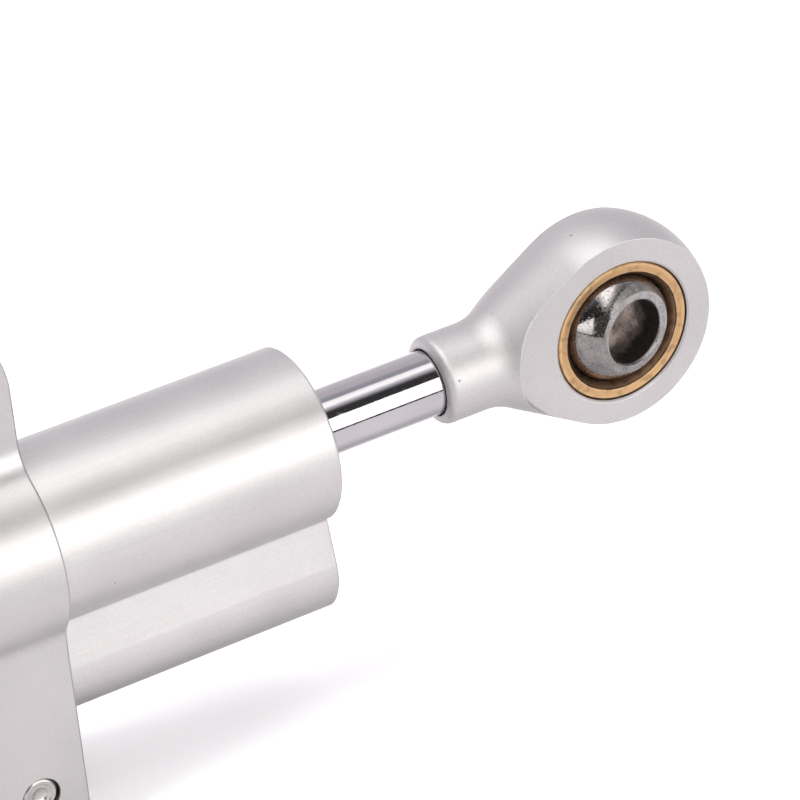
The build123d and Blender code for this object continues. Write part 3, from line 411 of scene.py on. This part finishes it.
def moulded(name, colour, roughness, bloom, grain):
    """Rubber or bearing plastic: matt, slightly mottled, with a pale bloom in places."""
    made, tree = new_material(name)
    place = node(tree, "ShaderNodeTexCoord").outputs["Object"]
    cloud = node(tree, "ShaderNodeTexNoise", Scale=300.0, Detail=5.0)
    skin = node(tree, "ShaderNodeTexNoise", Scale=grain, Detail=2.0)
    for texture in (cloud, skin):
        tree.links.new(place, texture.inputs["Vector"])
    pale = tuple(min(1.0, part + 0.10) for part in colour)
    body = mixed(tree, ramp(tree, cloud.outputs["Fac"], [(0.5, 0.0), (0.8, bloom)]), colour, pale)
    rough = math_node(tree, "MULTIPLY_ADD", skin.outputs["Fac"], 0.15, roughness)
    surfaced(tree, body, rough, skin.outputs["Fac"], 0.3, 0.02 * mm, metallic=0.0)
    return made


rod_line = (0, 0, axis_z)
lobe_line = (0, 0, lobe_z)
gland_metal = turned_metal("gland_turned", (0.72, 0.71, 0.71), 0.26, rod_line)
seal_rubber = moulded("seal_rubber", (0.022, 0.022, 0.024), 0.50, 0.5, 4000.0)
bush_lining = moulded("bush_lining", (0.16, 0.10, 0.06), 0.38, 0.4, 2500.0)
phosphate = (0.17, 0.165, 0.17)
clip_steel = turned_metal("clip_phosphated", phosphate, 0.40, rod_line, tarnish=0.6)
dress(gland_metal, "gland_left", "gland_right")
dress(bush_lining, "rod_bush_left", "rod_bush_right")
dress(seal_rubber, "rod_seal_left", "rod_seal_right", "wiper_left", "wiper_right", "gland_seal_rings")
dress(clip_steel, "gland_circlips")

# Rod: steel bar, ground, hard chromed and polished. It runs right through the casing, and years
# of sliding have left scuffs, hairlines and the odd speck in the chrome.


def drawn_out(tree, place, slant, scale):
    """Noise pulled out into hairlines that lie askew."""
    slanted = node(tree, "ShaderNodeMapping", Scale=(1.0, 0.05, 1.0), Rotation=slant)
    hairs = node(tree, "ShaderNodeTexNoise", Scale=scale, Detail=1.0)
    tree.links.new(place, slanted.inputs["Vector"])
    tree.links.new(slanted.outputs[0], hairs.inputs["Vector"])
    return hairs.outputs["Fac"]


def bright_steel(name, colour, roughness, hairline, specks):
    """Polished steel with hairline scratches, a few specks and faint smears."""
    made, tree = new_material(name)
    place = node(tree, "ShaderNodeTexCoord").outputs["Object"]
    smear = node(tree, "ShaderNodeTexNoise", Scale=140.0, Detail=5.0)
    scuffs = node(tree, "ShaderNodeTexNoise", Scale=1100.0, Detail=4.0, Roughness=0.6)
    spots = node(tree, "ShaderNodeTexVoronoi", Scale=420.0)
    hairs = drawn_out(tree, place, (0.3, 0.8, 0.5), 5200.0)
    for texture in (smear, scuffs, spots):
        tree.links.new(place, texture.inputs["Vector"])
    chosen = ramp(tree, spots.outputs["Color"], [(1.0 - specks, 0.0), (1.001 - specks, 1.0)])
    speck = ramp(tree, spots.outputs["Distance"], [(0.05, 1.0), (0.10, 0.0)])
    speck = math_node(tree, "MULTIPLY", speck, chosen)
    smeared = ramp(tree, smear.outputs["Fac"], [(0.45, 0.0), (0.75, 0.35)])
    body = mixed(tree, smeared, colour, tuple(0.8 * part for part in colour))
    body = mixed(tree, math_node(tree, "MULTIPLY", speck, 0.7), body, (0.09, 0.08, 0.08))
    rough = math_node(tree, "MULTIPLY_ADD", smear.outputs["Fac"], 0.04, roughness)
    rubbed = ramp(tree, scuffs.outputs["Fac"], [(0.50, 0.0), (0.72, 0.22)])
    rough = math_node(tree, "ADD", rough, math_node(tree, "MULTIPLY", rubbed, smear.outputs["Fac"]))
    rough = math_node(tree, "MULTIPLY_ADD", speck, 0.3, rough)
    relief = math_node(tree, "MULTIPLY_ADD", scuffs.outputs["Fac"], 6.0, hairs)
    surfaced(tree, body, rough, relief, hairline, 0.004 * mm)
    return made


dress(bright_steel("rod_chrome", (0.56, 0.545, 0.565), 0.012, 0.16, 0.20), "damper_rod")

# Piston: a turned aluminium disc on the rod, with a plastic sliding ring over a rubber cord, and a
# sprung ring on each side of it.
dress(turned_metal("piston_turned", (0.70, 0.69, 0.69), 0.22, rod_line), "piston")
dress(moulded("slide_ring", (0.10, 0.075, 0.05), 0.34, 0.4, 2500.0), "piston_ring")
dress(seal_rubber, "piston_energiser", "piston_seal_ring")
dress(clip_steel, "piston_clips")

# Ball eye: turned and milled aluminium, blasted coarser than the casing and anodised clear. It
# holds a bronze race round a ball of hardened steel, whose bore is stained by grease.
eye_middle = (112.87 * mm, 0, axis_z)
ball_turn = 10.5  # degrees that the ball stands turned in its race


def ball_steel(name, centre, width, bore_r, turn):
    """Worn bearing steel: scratched and pitted on the ball, matt on its face, stained in its bore."""
    made, tree = new_material(name)
    distance, station = off_axis(tree, centre, "Y", -radians(turn))
    ground = Vector(centre) + Vector((0.045, 0, 0.08)) * width  # its face is worn a little off centre
    from_ground, _ = off_axis(tree, ground, "Y", -radians(turn))
    place = node(tree, "ShaderNodeTexCoord").outputs["Object"]
    wear = node(tree, "ShaderNodeTexNoise", Scale=300.0, Detail=8.0, Roughness=0.65)
    stain = node(tree, "ShaderNodeTexNoise", Scale=130.0, Detail=5.0)
    grain = node(tree, "ShaderNodeTexNoise", Scale=3200.0, Detail=3.0)
    spots = node(tree, "ShaderNodeTexVoronoi", Scale=1500.0)
    for texture in (wear, stain, grain, spots):
        tree.links.new(place, texture.inputs["Vector"])
    matt = ramp(tree, math_node(tree, "DIVIDE", from_ground, width), [(0.445, 1.0), (0.465, 0.0)])
    in_bore = ramp(tree, math_node(tree, "DIVIDE", distance, 2 * bore_r), [(0.505, 1.0), (0.52, 0.0)])
    near_bore = ramp(tree, math_node(tree, "DIVIDE", distance, 2 * bore_r), [(0.54, 0.14), (0.62, 0.0)])
    patches = math_node(tree, "ADD", stain.outputs["Fac"], near_bore)
    pitted = math_node(
        tree,
        "MULTIPLY",
        ramp(tree, spots.outputs["Distance"], [(0.14, 1.0), (0.30, 0.0)]),
        ramp(tree, patches, [(0.52, 0.0), (0.58, 1.0)]),
    )
    scratched = math_node(
        tree,
        "MAXIMUM",
        ramp(tree, drawn_out(tree, place, (0.3, 0.8, 0.5), 3600.0), [(0.58, 0.0), (0.66, 1.0)]),
        ramp(tree, drawn_out(tree, place, (1.2, -0.3, 1.1), 3000.0), [(0.60, 0.0), (0.68, 1.0)]),
    )
    worn = ramp(tree, wear.outputs["Fac"], [(0.40, 0.0), (0.70, 1.0)])
    body = mixed(tree, worn, (0.37, 0.35, 0.345), (0.21, 0.195, 0.19))
    body = mixed(tree, matt, body, mixed(tree, worn, (0.50, 0.485, 0.48), (0.33, 0.31, 0.30)))
    body = mixed(tree, math_node(tree, "MULTIPLY", pitted, 0.8), body, (0.05, 0.04, 0.04))
    depth = math_node(tree, "DIVIDE", math_node(tree, "ABSOLUTE", station), width)
    mottle = math_node(tree, "MULTIPLY", depth, -0.9)
    mottle = math_node(tree, "MULTIPLY_ADD", wear.outputs["Fac"], 0.5, mottle)
    stains = [(0.0, (0.05, 0.042, 0.038)), (0.12, (0.28, 0.24, 0.22)), (0.26, (0.95, 0.84, 0.76))]
    body = mixed(tree, in_bore, body, ramp(tree, mottle, stains))
    flecked = ramp(tree, grain.outputs["Fac"], [(0.30, 0.70), (0.62, 1.0)])
    body = mixed(tree, 1.0, body, flecked, "MULTIPLY")
    rough = math_node(tree, "MULTIPLY_ADD", worn, 0.10, 0.03)
    rough = math_node(tree, "MULTIPLY_ADD", scratched, 0.22, rough)
    rough = math_node(tree, "MULTIPLY_ADD", matt, 0.26, rough)
    rough = math_node(tree, "MULTIPLY_ADD", in_bore, 0.34, rough)
    relief = math_node(tree, "MULTIPLY_ADD", grain.outputs["Fac"], 0.5, wear.outputs["Fac"])
    relief = math_node(tree, "SUBTRACT", relief, math_node(tree, "MULTIPLY", pitted, 2.0))
    surfaced(tree, body, rough, relief, 0.35, 0.012 * mm)
    return made


def race_bronze(name, centre, outer_r, mouth_r):
    """Bronze race: a turned rim patched with oil, its light and shade painted in rings: painted shade
    black at its outer edge in the gap to its housing and dark brown in a line and a cone further in,
    painted highlights bright at its lip and on the rim.
    """
    made, tree = new_material(name)
    distance, _ = off_axis(tree, centre, "Y")
    place = node(tree, "ShaderNodeTexCoord").outputs["Object"]
    patchy = node(tree, "ShaderNodeTexNoise", Scale=700.0, Detail=6.0)
    tree.links.new(place, patchy.inputs["Vector"])
    rings = node(tree, "ShaderNodeTexNoise", noise_dimensions="1D", Scale=7000.0, Detail=2.0)
    tree.links.new(distance, rings.inputs["W"])
    ragged = math_node(tree, "MULTIPLY_ADD", patchy.outputs["Fac"], 0.22 * mm, distance)
    share = math_node(tree, "DIVIDE", ragged, 1.1 * outer_r)
    out, lip = (outer_r + 0.09 * mm) / (1.1 * outer_r), (mouth_r + 0.11 * mm) / (1.1 * outer_r)
    # painted light and shade in rings by radius: painted shade black at the outer edge and dark brown
    # further in, painted highlights bright at the lip and on the rim
    body = ramp(
        tree,
        share,
        [
            (lip - 0.120, (0.05, 0.028, 0.017)),
            (lip - 0.060, (0.16, 0.09, 0.052)),
            (lip - 0.016, (0.40, 0.25, 0.15)),
            (lip - 0.007, (0.07, 0.035, 0.02)),
            (lip + 0.003, (0.85, 0.60, 0.35)),
            (lip + 0.012, (0.62, 0.39, 0.20)),
            (out - 0.060, (0.66, 0.42, 0.21)),
            (out - 0.045, (0.78, 0.52, 0.275)),
            (out - 0.014, (0.70, 0.45, 0.23)),
            (out - 0.004, (0.10, 0.06, 0.035)),
            (out + 0.008, (0.02, 0.015, 0.012)),
        ],
    )
    tooled = ramp(tree, rings.outputs["Fac"], [(0.30, 0.80), (0.62, 1.0)])
    body = mixed(tree, 1.0, body, tooled, "MULTIPLY")
    oiled = ramp(tree, patchy.outputs["Fac"], [(0.36, 0.72), (0.50, 1.0)])
    body = mixed(tree, 1.0, body, oiled, "MULTIPLY")
    rough = math_node(tree, "MULTIPLY_ADD", patchy.outputs["Fac"], 0.16, 0.26)
    # the inner half of the rim falls inwards
    fall = math_node(tree, "SUBTRACT", distance, (outer_r + mouth_r) / 2)
    fall = math_node(tree, "MULTIPLY", math_node(tree, "MINIMUM", fall, 0.0), 0.22)
    cone = node(tree, "ShaderNodeBump", Strength=1.0, Distance=1.0)
    tree.links.new(fall, cone.inputs["Height"])
    relief = math_node(tree, "MULTIPLY_ADD", patchy.outputs["Fac"], 1.5, rings.outputs["Fac"])
    surfaced(tree, body, rough, relief, 0.4, 0.012 * mm, under=cone.outputs[0])
    return made


dress(
    blasted_aluminium("eye_anodised", (0.638, 0.623, 0.628), 0.52, grain=0.40, edge=0.20 * mm),
    "rod_end",
)
dress(race_bronze("eye_race_bronze", eye_middle, 11.23 * mm, 9.6 * mm), "rod_end_race")
dress(ball_steel("eye_ball_steel", eye_middle, 14 * mm, 5 * mm, ball_turn), "rod_end_ball")

# Clamp: two halves milled from bar, blasted and anodised, which grip the casing between them and
# trap the pivot's race in their ears.
clamp_colour = (0.605, 0.593, 0.592)
dress(
    blasted_aluminium("clamp_anodised", clamp_colour, 0.42, grain=0.30, edge=0.12 * mm, dark=0.30),
    "clamp_front",
    "clamp_rear",
)
dress(race_bronze("pivot_race_bronze", (0, 0, 0), 8.15 * mm, 6.95 * mm), "pivot_race")
dress(ball_steel("pivot_ball_steel", (0, 0, 0), 10 * mm, 4 * mm, 0.0), "pivot_ball")

# Clamp screws: cylinder-head screws of zinc-plated steel from the rear, with a knurled head, a
# hexagon socket and a rolled thread, whose turned end shows in the front half.


def ring_points(radius, flats, count):
    """Points of one ring about +Z: a circle, or a regular polygon whose flats lie at that radius."""
    points = []
    for place in range(count):
        angle = 2 * pi * place / count
        reach = radius
        if flats:
            step = 2 * pi / flats
            reach = radius / cos((angle + step / 2) % step - step / 2)
        points.append((reach * cos(angle), reach * sin(angle)))
    return points


def spun(rings, count=72, closed=False):
    """Mesh from rings of (place along +Z, radius, flats), closed into a tube or by its poles."""
    shape = bmesh.new()
    loops = []
    for along, radius, *flats in rings:
        if radius == 0:
            loops.append([shape.verts.new((0, 0, along))])
        else:
            points = ring_points(radius, flats[0] if flats else 0, count)
            loops.append([shape.verts.new((x, y, along)) for x, y in points])
    pairs = list(zip(loops, loops[1:]))
    if closed:
        pairs.append((loops[-1], loops[0]))
    for first, second in pairs:
        for place in range(count):
            after = (place + 1) % count
            if len(first) == 1:
                shape.faces.new((first[0], second[after], second[place]))
            elif len(second) == 1:
                shape.faces.new((first[place], first[after], second[0]))
            else:
                shape.faces.new((first[place], first[after], second[after], second[place]))
    bmesh.ops.recalc_face_normals(shape, faces=shape.faces)
    mesh = bpy.data.meshes.new("spun")
    shape.to_mesh(mesh)
    shape.free()
    return mesh


def geometry_tree(name, inputs):
    """Empty Geometry Nodes tree with named inputs, a Finish among them, and one output."""
    made = bpy.data.node_groups.new(name, "GeometryNodeTree")
    made.interface.new_socket("Geometry", in_out="INPUT", socket_type="NodeSocketGeometry")
    for label, kind in inputs:
        made.interface.new_socket(label, in_out="INPUT", socket_type=f"NodeSocket{kind}")
    made.interface.new_socket("Finish", in_out="INPUT", socket_type="NodeSocketMaterial")
    made.interface.new_socket("Geometry", in_out="OUTPUT", socket_type="NodeSocketGeometry")
    entry = made.nodes.new("NodeGroupInput")
    return made, entry


def end_tree(tree, entry, geometry):
    """Realize Instances and Set Material, the last nodes of every tree."""
    real = tree.nodes.new("GeometryNodeRealizeInstances")
    finish = tree.nodes.new("GeometryNodeSetMaterial")
    out = tree.nodes.new("NodeGroupOutput")
    tree.links.new(geometry, real.inputs[0])
    tree.links.new(real.outputs[0], finish.inputs["Geometry"])
    tree.links.new(entry.outputs["Finish"], finish.inputs["Material"])
    tree.links.new(finish.outputs[0], out.inputs[0])


def grown(tree, values, mesh=None):
    """Runs a Geometry Nodes tree once and gives its result as a plain mesh."""
    carrier = bpy.data.objects.new("carrier", mesh or bpy.data.meshes.new("carrier"))
    bpy.context.collection.objects.link(carrier)
    modifier = carrier.modifiers.new("grow", "NODES")
    modifier.node_group = tree
    for socket in tree.interface.items_tree:
        if socket.in_out == "INPUT" and socket.name in values:
            modifier[socket.identifier] = values[socket.name]
    depsgraph = bpy.context.evaluated_depsgraph_get()
    made = bpy.data.meshes.new_from_object(carrier.evaluated_get(depsgraph), depsgraph=depsgraph)
    carrier.modifiers.clear()
    bpy.data.objects.remove(carrier)
    return made


def fitted(name, parts, material, body, slot, *nodes):
    """One piece from (mesh, matrix) parts, riding on a body and standing for CAD nodes."""
    shape = bmesh.new()
    for mesh, matrix in parts:
        copy = mesh.copy()
        copy.transform(matrix)
        shape.from_mesh(copy)
        bpy.data.meshes.remove(copy)
    mesh = bpy.data.meshes.new(name)
    shape.to_mesh(mesh)
    shape.free()
    mesh.materials.clear()
    mesh.materials.append(material)
    mesh.polygons.foreach_set("use_smooth", [True] * len(mesh.polygons))
    mesh.polygons.foreach_set("material_index", [0] * len(mesh.polygons))
    mesh.set_sharp_from_angle(angle=radians(32))
    piece = bpy.data.objects.new(name, mesh)
    bpy.context.collection.objects.link(piece)
    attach(piece, body)
    if nodes:
        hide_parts(*nodes)
    return piece


# wire or ridge wound round +Z
winding = [(label, "Float") for label in ("Turns", "Radius", "Length", "Thickness")]
wound, entry = geometry_tree("wound_ridge", winding + [("Sides", "Int")])
helix = node(wound, "GeometryNodeCurveSpiral", Resolution=28)
outline = node(wound, "GeometryNodeCurvePrimitiveCircle")
swept = node(wound, "GeometryNodeCurveToMesh", Fill_Caps=True)
for label, socket in (
    ("Turns", helix.inputs["Rotations"]),
    ("Radius", helix.inputs["Start Radius"]),
    ("Radius", helix.inputs["End Radius"]),
    ("Length", helix.inputs["Height"]),
    ("Thickness", outline.inputs["Radius"]),
    ("Sides", outline.inputs["Resolution"]),
):
    wound.links.new(entry.outputs[label], socket)
wound.links.new(helix.outputs[0], swept.inputs["Curve"])
wound.links.new(outline.outputs[0], swept.inputs["Profile Curve"])
end_tree(wound, entry, swept.outputs[0])

# bars spaced round a rim, standing across +Z
rimmed, entry = geometry_tree("rim_bars", [("Count", "Int"), ("Radius", "Float"), ("Bar", "Vector")])
spots = node(rimmed, "GeometryNodeMeshCircle")
bar = node(rimmed, "GeometryNodeMeshCube")
placed = node(rimmed, "GeometryNodeInstanceOnPoints")
facing = node(rimmed, "FunctionNodeAlignRotationToVector", axis="X")
rimmed.links.new(entry.outputs["Count"], spots.inputs["Vertices"])
rimmed.links.new(entry.outputs["Radius"], spots.inputs["Radius"])
rimmed.links.new(entry.outputs["Bar"], bar.inputs["Size"])
rimmed.links.new(node(rimmed, "GeometryNodeInputPosition").outputs[0], facing.inputs["Vector"])
rimmed.links.new(spots.outputs[0], placed.inputs["Points"])
rimmed.links.new(bar.outputs[0], placed.inputs["Instance"])
rimmed.links.new(facing.outputs[0], placed.inputs["Rotation"])
end_tree(rimmed, entry, placed.outputs[0])

zinc = (0.60, 0.58, 0.56)
lower_place = (8.6 * mm, 0, -61.3 * mm)
upper_place = (10.5 * mm, 0, -7.8 * mm)
plated = turned_metal("screw_zinc", zinc, 0.20, lower_place, "Y", 0.5)
plated_small = turned_metal("small_screw_zinc", zinc, 0.20, upper_place, "Y", 0.5)
to_rear = Matrix.Rotation(radians(-90), 4, "X")


def head_screw(size, seat, tip, pitch):
    """Parts of a cylinder-head screw along +Z, its head's underside at seat, its end at tip."""
    top, head_r, shank_r = seat + size, 5 / 6 * size, size / 2 - 0.02 * mm
    core_r, key = shank_r - 0.6 * pitch, 5 / 12 * size
    body = spun(
        [
            (top - size / 2, 0),
            (top - size / 2, key, 6),
            (top - 0.06 * size, key, 6),
            (top, 1.22 * key),
            (top, head_r - 0.09 * size),
            (top - 0.03 * size, head_r - 0.03 * size),
            (top - 0.10 * size, head_r - 0.01 * size),
            (seat + 0.03 * size, head_r - 0.01 * size),
            (seat, head_r - 0.05 * size),
            (seat, shank_r),
            (seat - 0.3 * size, shank_r),
            (seat - 0.34 * size, core_r),
            (tip + 0.5 * pitch, core_r),
            (tip + 0.45 * pitch, 0.96 * shank_r),
            (tip + 0.10 * pitch, 0.86 * shank_r),
            (tip, 0.80 * shank_r),
            (tip + 0.03 * pitch, 0.64 * shank_r),
            (tip + 0.12 * pitch, 0.60 * shank_r),
            (tip + 0.16 * pitch, 0.42 * shank_r),
            (tip + 0.30 * pitch, 0.37 * shank_r),
            (tip + 0.46 * pitch, 0.15 * shank_r),
            (tip + 0.47 * pitch, 0),
        ]
    )
    length = seat - 0.34 * size - tip - 0.6 * pitch
    thread = grown(
        wound,
        {
            "Turns": length / pitch,
            "Radius": core_r + 0.10 * pitch,
            "Length": length,
            "Thickness": 0.48 * pitch,
            "Sides": 4,
            "Finish": plated,
        },
    )
    knurl = grown(
        rimmed,
        {
            "Count": 44,
            "Radius": head_r - 0.02 * size,
            "Bar": (0.05 * size, 0.045 * size, 0.62 * size),
            "Finish": plated,
        },
    )
    low = Matrix.Translation((0, 0, tip + 0.6 * pitch))
    return [(body, Matrix()), (thread, low), (knurl, Matrix.Translation((0, 0, seat + 0.5 * size)))]


for name, size, seat, tip, pitch, right_place, finish in (
    ("lower_screws", 6.0, 5.3, -11.4, 1.0, lower_place, plated),
    ("upper_screws", 4.0, 4.25, -4.10, 0.7, upper_place, plated_small),
):
    parts = []
    for side in (-1, 1):
        place = Matrix.Translation((side * right_place[0], 0, right_place[2])) @ to_rear
        for mesh, local in head_screw(size * mm, seat * mm, tip * mm, pitch * mm):
            parts.append((mesh, place @ local))
    fitted(name, parts, finish, "casing", "zinc_steel", f"clamp_{name}")

# Adjuster: a turned housing screwed into the small tube, a stem that turns in it, and the tapered
# needle that the stem's thread draws to and from its brass seat.
adjuster_metal = turned_metal("adjuster_turned", (0.70, 0.69, 0.69), 0.20, lobe_line)
dress(adjuster_metal, "bonnet")
dress(seal_rubber, "bonnet_seal_ring", "stem_seal_ring")
dress(turned_metal("stem_steel", (0.52, 0.51, 0.51), 0.16, lobe_line), "adjuster_stem", "needle")
dress(turned_metal("seat_brass", (0.74, 0.52, 0.24), 0.22, lobe_line), "needle_seat")

# Knob: turned from aluminium, twelve flutes milled for the fingers, anodised black, with its clicks
# numbered in white on the face. A small socket screw holds it to the stem.
knob_out_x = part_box("adjuster_knob")[0][0]
flutes = 12
numeral_r = 6.9 * mm
knob_finish = blasted_aluminium("knob_black", (0.030, 0.030, 0.033), 0.36, grain=0.3, dark=0.45)
to_knob = Matrix.Translation((knob_out_x, 0, lobe_z)) @ Matrix.Rotation(radians(90), 4, "Y")

# twelve cutters stood round a blank and taken out of it
fluted, entry = geometry_tree(
    "milled_flutes",
    [("Flutes", "Int"), ("Pitch Radius", "Float"), ("Cutter Radius", "Float"), ("Depth", "Float")],
)
centres = node(fluted, "GeometryNodeMeshCircle")
cutter = node(fluted, "GeometryNodeMeshCylinder", Vertices=40)
cutters = node(fluted, "GeometryNodeInstanceOnPoints")
cut = node(fluted, "GeometryNodeMeshBoolean", operation="DIFFERENCE", solver="EXACT")
apart = node(fluted, "GeometryNodeRealizeInstances")
for label, socket in (
    ("Flutes", centres.inputs["Vertices"]),
    ("Pitch Radius", centres.inputs["Radius"]),
    ("Cutter Radius", cutter.inputs["Radius"]),
    ("Depth", cutter.inputs["Depth"]),
):
    fluted.links.new(entry.outputs[label], socket)
fluted.links.new(centres.outputs[0], cutters.inputs["Points"])
fluted.links.new(cutter.outputs["Mesh"], cutters.inputs["Instance"])
fluted.links.new(cutters.outputs[0], apart.inputs[0])
fluted.links.new(entry.outputs["Geometry"], cut.inputs["Mesh 1"])
fluted.links.new(apart.outputs[0], cut.inputs["Mesh 2"])
end_tree(fluted, entry, cut.outputs[0])

knob_blank = spun(
    [
        (0.00, 3.20),
        (0.00, 9.30),
        (0.10, 9.80),
        (0.35, 10.22),
        (0.80, 10.50),
        (11.40, 10.50),
        (12.00, 9.90),
        (12.00, 4.80),
        (9.20, 4.80),
        (9.20, 2.03),
        (3.00, 2.03),
        (3.00, 1.54),
        (2.00, 1.54),
        (2.00, 2.95),
        (0.25, 2.95),
    ],
    count=144,
    closed=True,
)
knob_blank.transform(Matrix.Scale(mm, 4))
knob_mesh = grown(
    fluted,
    {
        "Flutes": flutes,
        "Pitch Radius": 11.6 * mm,
        "Cutter Radius": 2.2 * mm,
        "Depth": 30 * mm,
        "Finish": knob_finish,
    },
    knob_blank,
)
fitted("knob", [(knob_mesh, to_knob)], knob_finish, "adjuster", "knob_anodised", "adjuster_knob")

ink, tree = new_material("numeral_ink")
paint = node(tree, "ShaderNodeBsdfPrincipled", Roughness=0.5)
flake = node(tree, "ShaderNodeTexNoise", Scale=2500.0, Detail=4.0)
tree.links.new(node(tree, "ShaderNodeTexCoord").outputs["Object"], flake.inputs["Vector"])
tree.links.new(
    ramp(tree, flake.outputs["Fac"], [(0.30, (0.55, 0.55, 0.54)), (0.42, (0.84, 0.84, 0.82))]),
    paint.inputs["Base Color"],
)
tree.links.new(paint.outputs[0], node(tree, "ShaderNodeOutputMaterial").inputs["Surface"])

marks = []
for number in range(flutes):
    words = bpy.data.curves.new("numeral", "FONT")
    words.body = str(number)
    words.size = 2.3 * mm
    words.align_x = "CENTER"
    words.align_y = "CENTER"
    words.extrude = 0.015 * mm
    words.resolution_u = 4
    holder = bpy.data.objects.new("numeral", words)
    bpy.context.collection.objects.link(holder)
    depsgraph = bpy.context.evaluated_depsgraph_get()
    flat_number = bpy.data.meshes.new_from_object(holder.evaluated_get(depsgraph), depsgraph=depsgraph)
    bpy.data.objects.remove(holder)
    # the face is seen along +X, so a numeral's right is -Y and its top points outwards
    upright = Matrix(((0, 0, -1, 0), (-1, 0, 0, 0), (0, 1, 0, 0), (0, 0, 0, 1)))
    clock = Matrix.Rotation(radians(360 / flutes * (number + 0.5)), 4, "X")
    up = Matrix.Translation((knob_out_x - 0.005 * mm, 0, lobe_z))
    marks.append((flat_number, up @ clock @ Matrix.Translation((0, 0, numeral_r)) @ upright))
ticks = grown(
    rimmed,
    {"Count": 60, "Radius": 8.75 * mm, "Bar": (0.55 * mm, 0.12 * mm, 0.03 * mm), "Finish": ink},
)
marks.append((ticks, to_knob))
fitted("knob_numerals", marks, ink, "adjuster", "knob_anodised")

knob_key = 1.0
knob_screw_mesh = spun(
    [
        (1.5, 0),
        (1.5, knob_key, 6),
        (0.4, knob_key, 6),
        (0.3, 1.3),
        (0.3, 2.3),
        (0.45, 2.6),
        (0.8, 2.74),
        (1.9, 2.74),
        (2.0, 2.65),
        (2.0, 1.47),
        (7.2, 1.47),
        (7.5, 1.1),
        (7.5, 0),
    ]
)
knob_screw_mesh.transform(Matrix.Scale(mm, 4))
knob_plated = turned_metal("knob_screw_zinc", zinc, 0.20, lobe_line, "X", 0.4)
fitted(
    "knob_screw_turned",
    [(knob_screw_mesh, to_knob)],
    knob_plated,
    "adjuster",
    "zinc_steel",
    "knob_screw",
)

# Detent: a hard steel ball in the knob, pressed on the adjuster's housing by a small spring wound
# of round wire, which gives the knob its clicks.
spring_steel = turned_metal("spring_steel", (0.40, 0.39, 0.39), 0.22, lobe_line)
dress(bright_steel("detent_ball_steel", (0.55, 0.54, 0.54), 0.05, 0.1, 0.05), "detent_ball")


def coil(node_name, wire, turns):
    """Round wire wound along X to fill a spring's box, as the parts for fitted()."""
    low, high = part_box(node_name)
    wound_wire = grown(
        wound,
        {
            "Turns": turns,
            "Radius": (high[1] - low[1] - wire) / 2,
            "Length": high[0] - low[0] - wire,
            "Thickness": wire / 2,
            "Sides": 10,
            "Finish": spring_steel,
        },
    )
    start = Matrix.Translation((low[0] + wire / 2, 0, (low[2] + high[2]) / 2))
    return [(wound_wire, start @ Matrix.Rotation(radians(90), 4, "Y"))]


fitted(
    "detent_coil",
    coil("detent_spring", 0.3 * mm, 6.0),
    spring_steel,
    "adjuster",
    "spring_steel",
    "detent_spring",
)

# Reservoir: a sprung piston in the small tube's other end, behind a plug and its sprung ring, and
# two set screws that close the cross drillings underneath.
dress(adjuster_metal, "reservoir_piston", "reservoir_plug")
dress(seal_rubber, "reservoir_seal_ring", "plug_seal_ring")
reservoir_coil = fitted(
    "reservoir_coil",
    coil("reservoir_spring", 0.8 * mm, 4.0),
    spring_steel,
    "casing",
    "spring_steel",
    "reservoir_spring",
)
# the plug holds the spring's far end, and the piston presses it when hot oil needs room
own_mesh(reservoir_coil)
dress(
    turned_metal("plug_clip_phosphated", phosphate, 0.40, lobe_line, tarnish=0.6),
    "plug_circlip",
)
dress(bright_steel("set_screw_steel", (0.20, 0.20, 0.205), 0.28, 0.3, 0.2), "port_plugs")
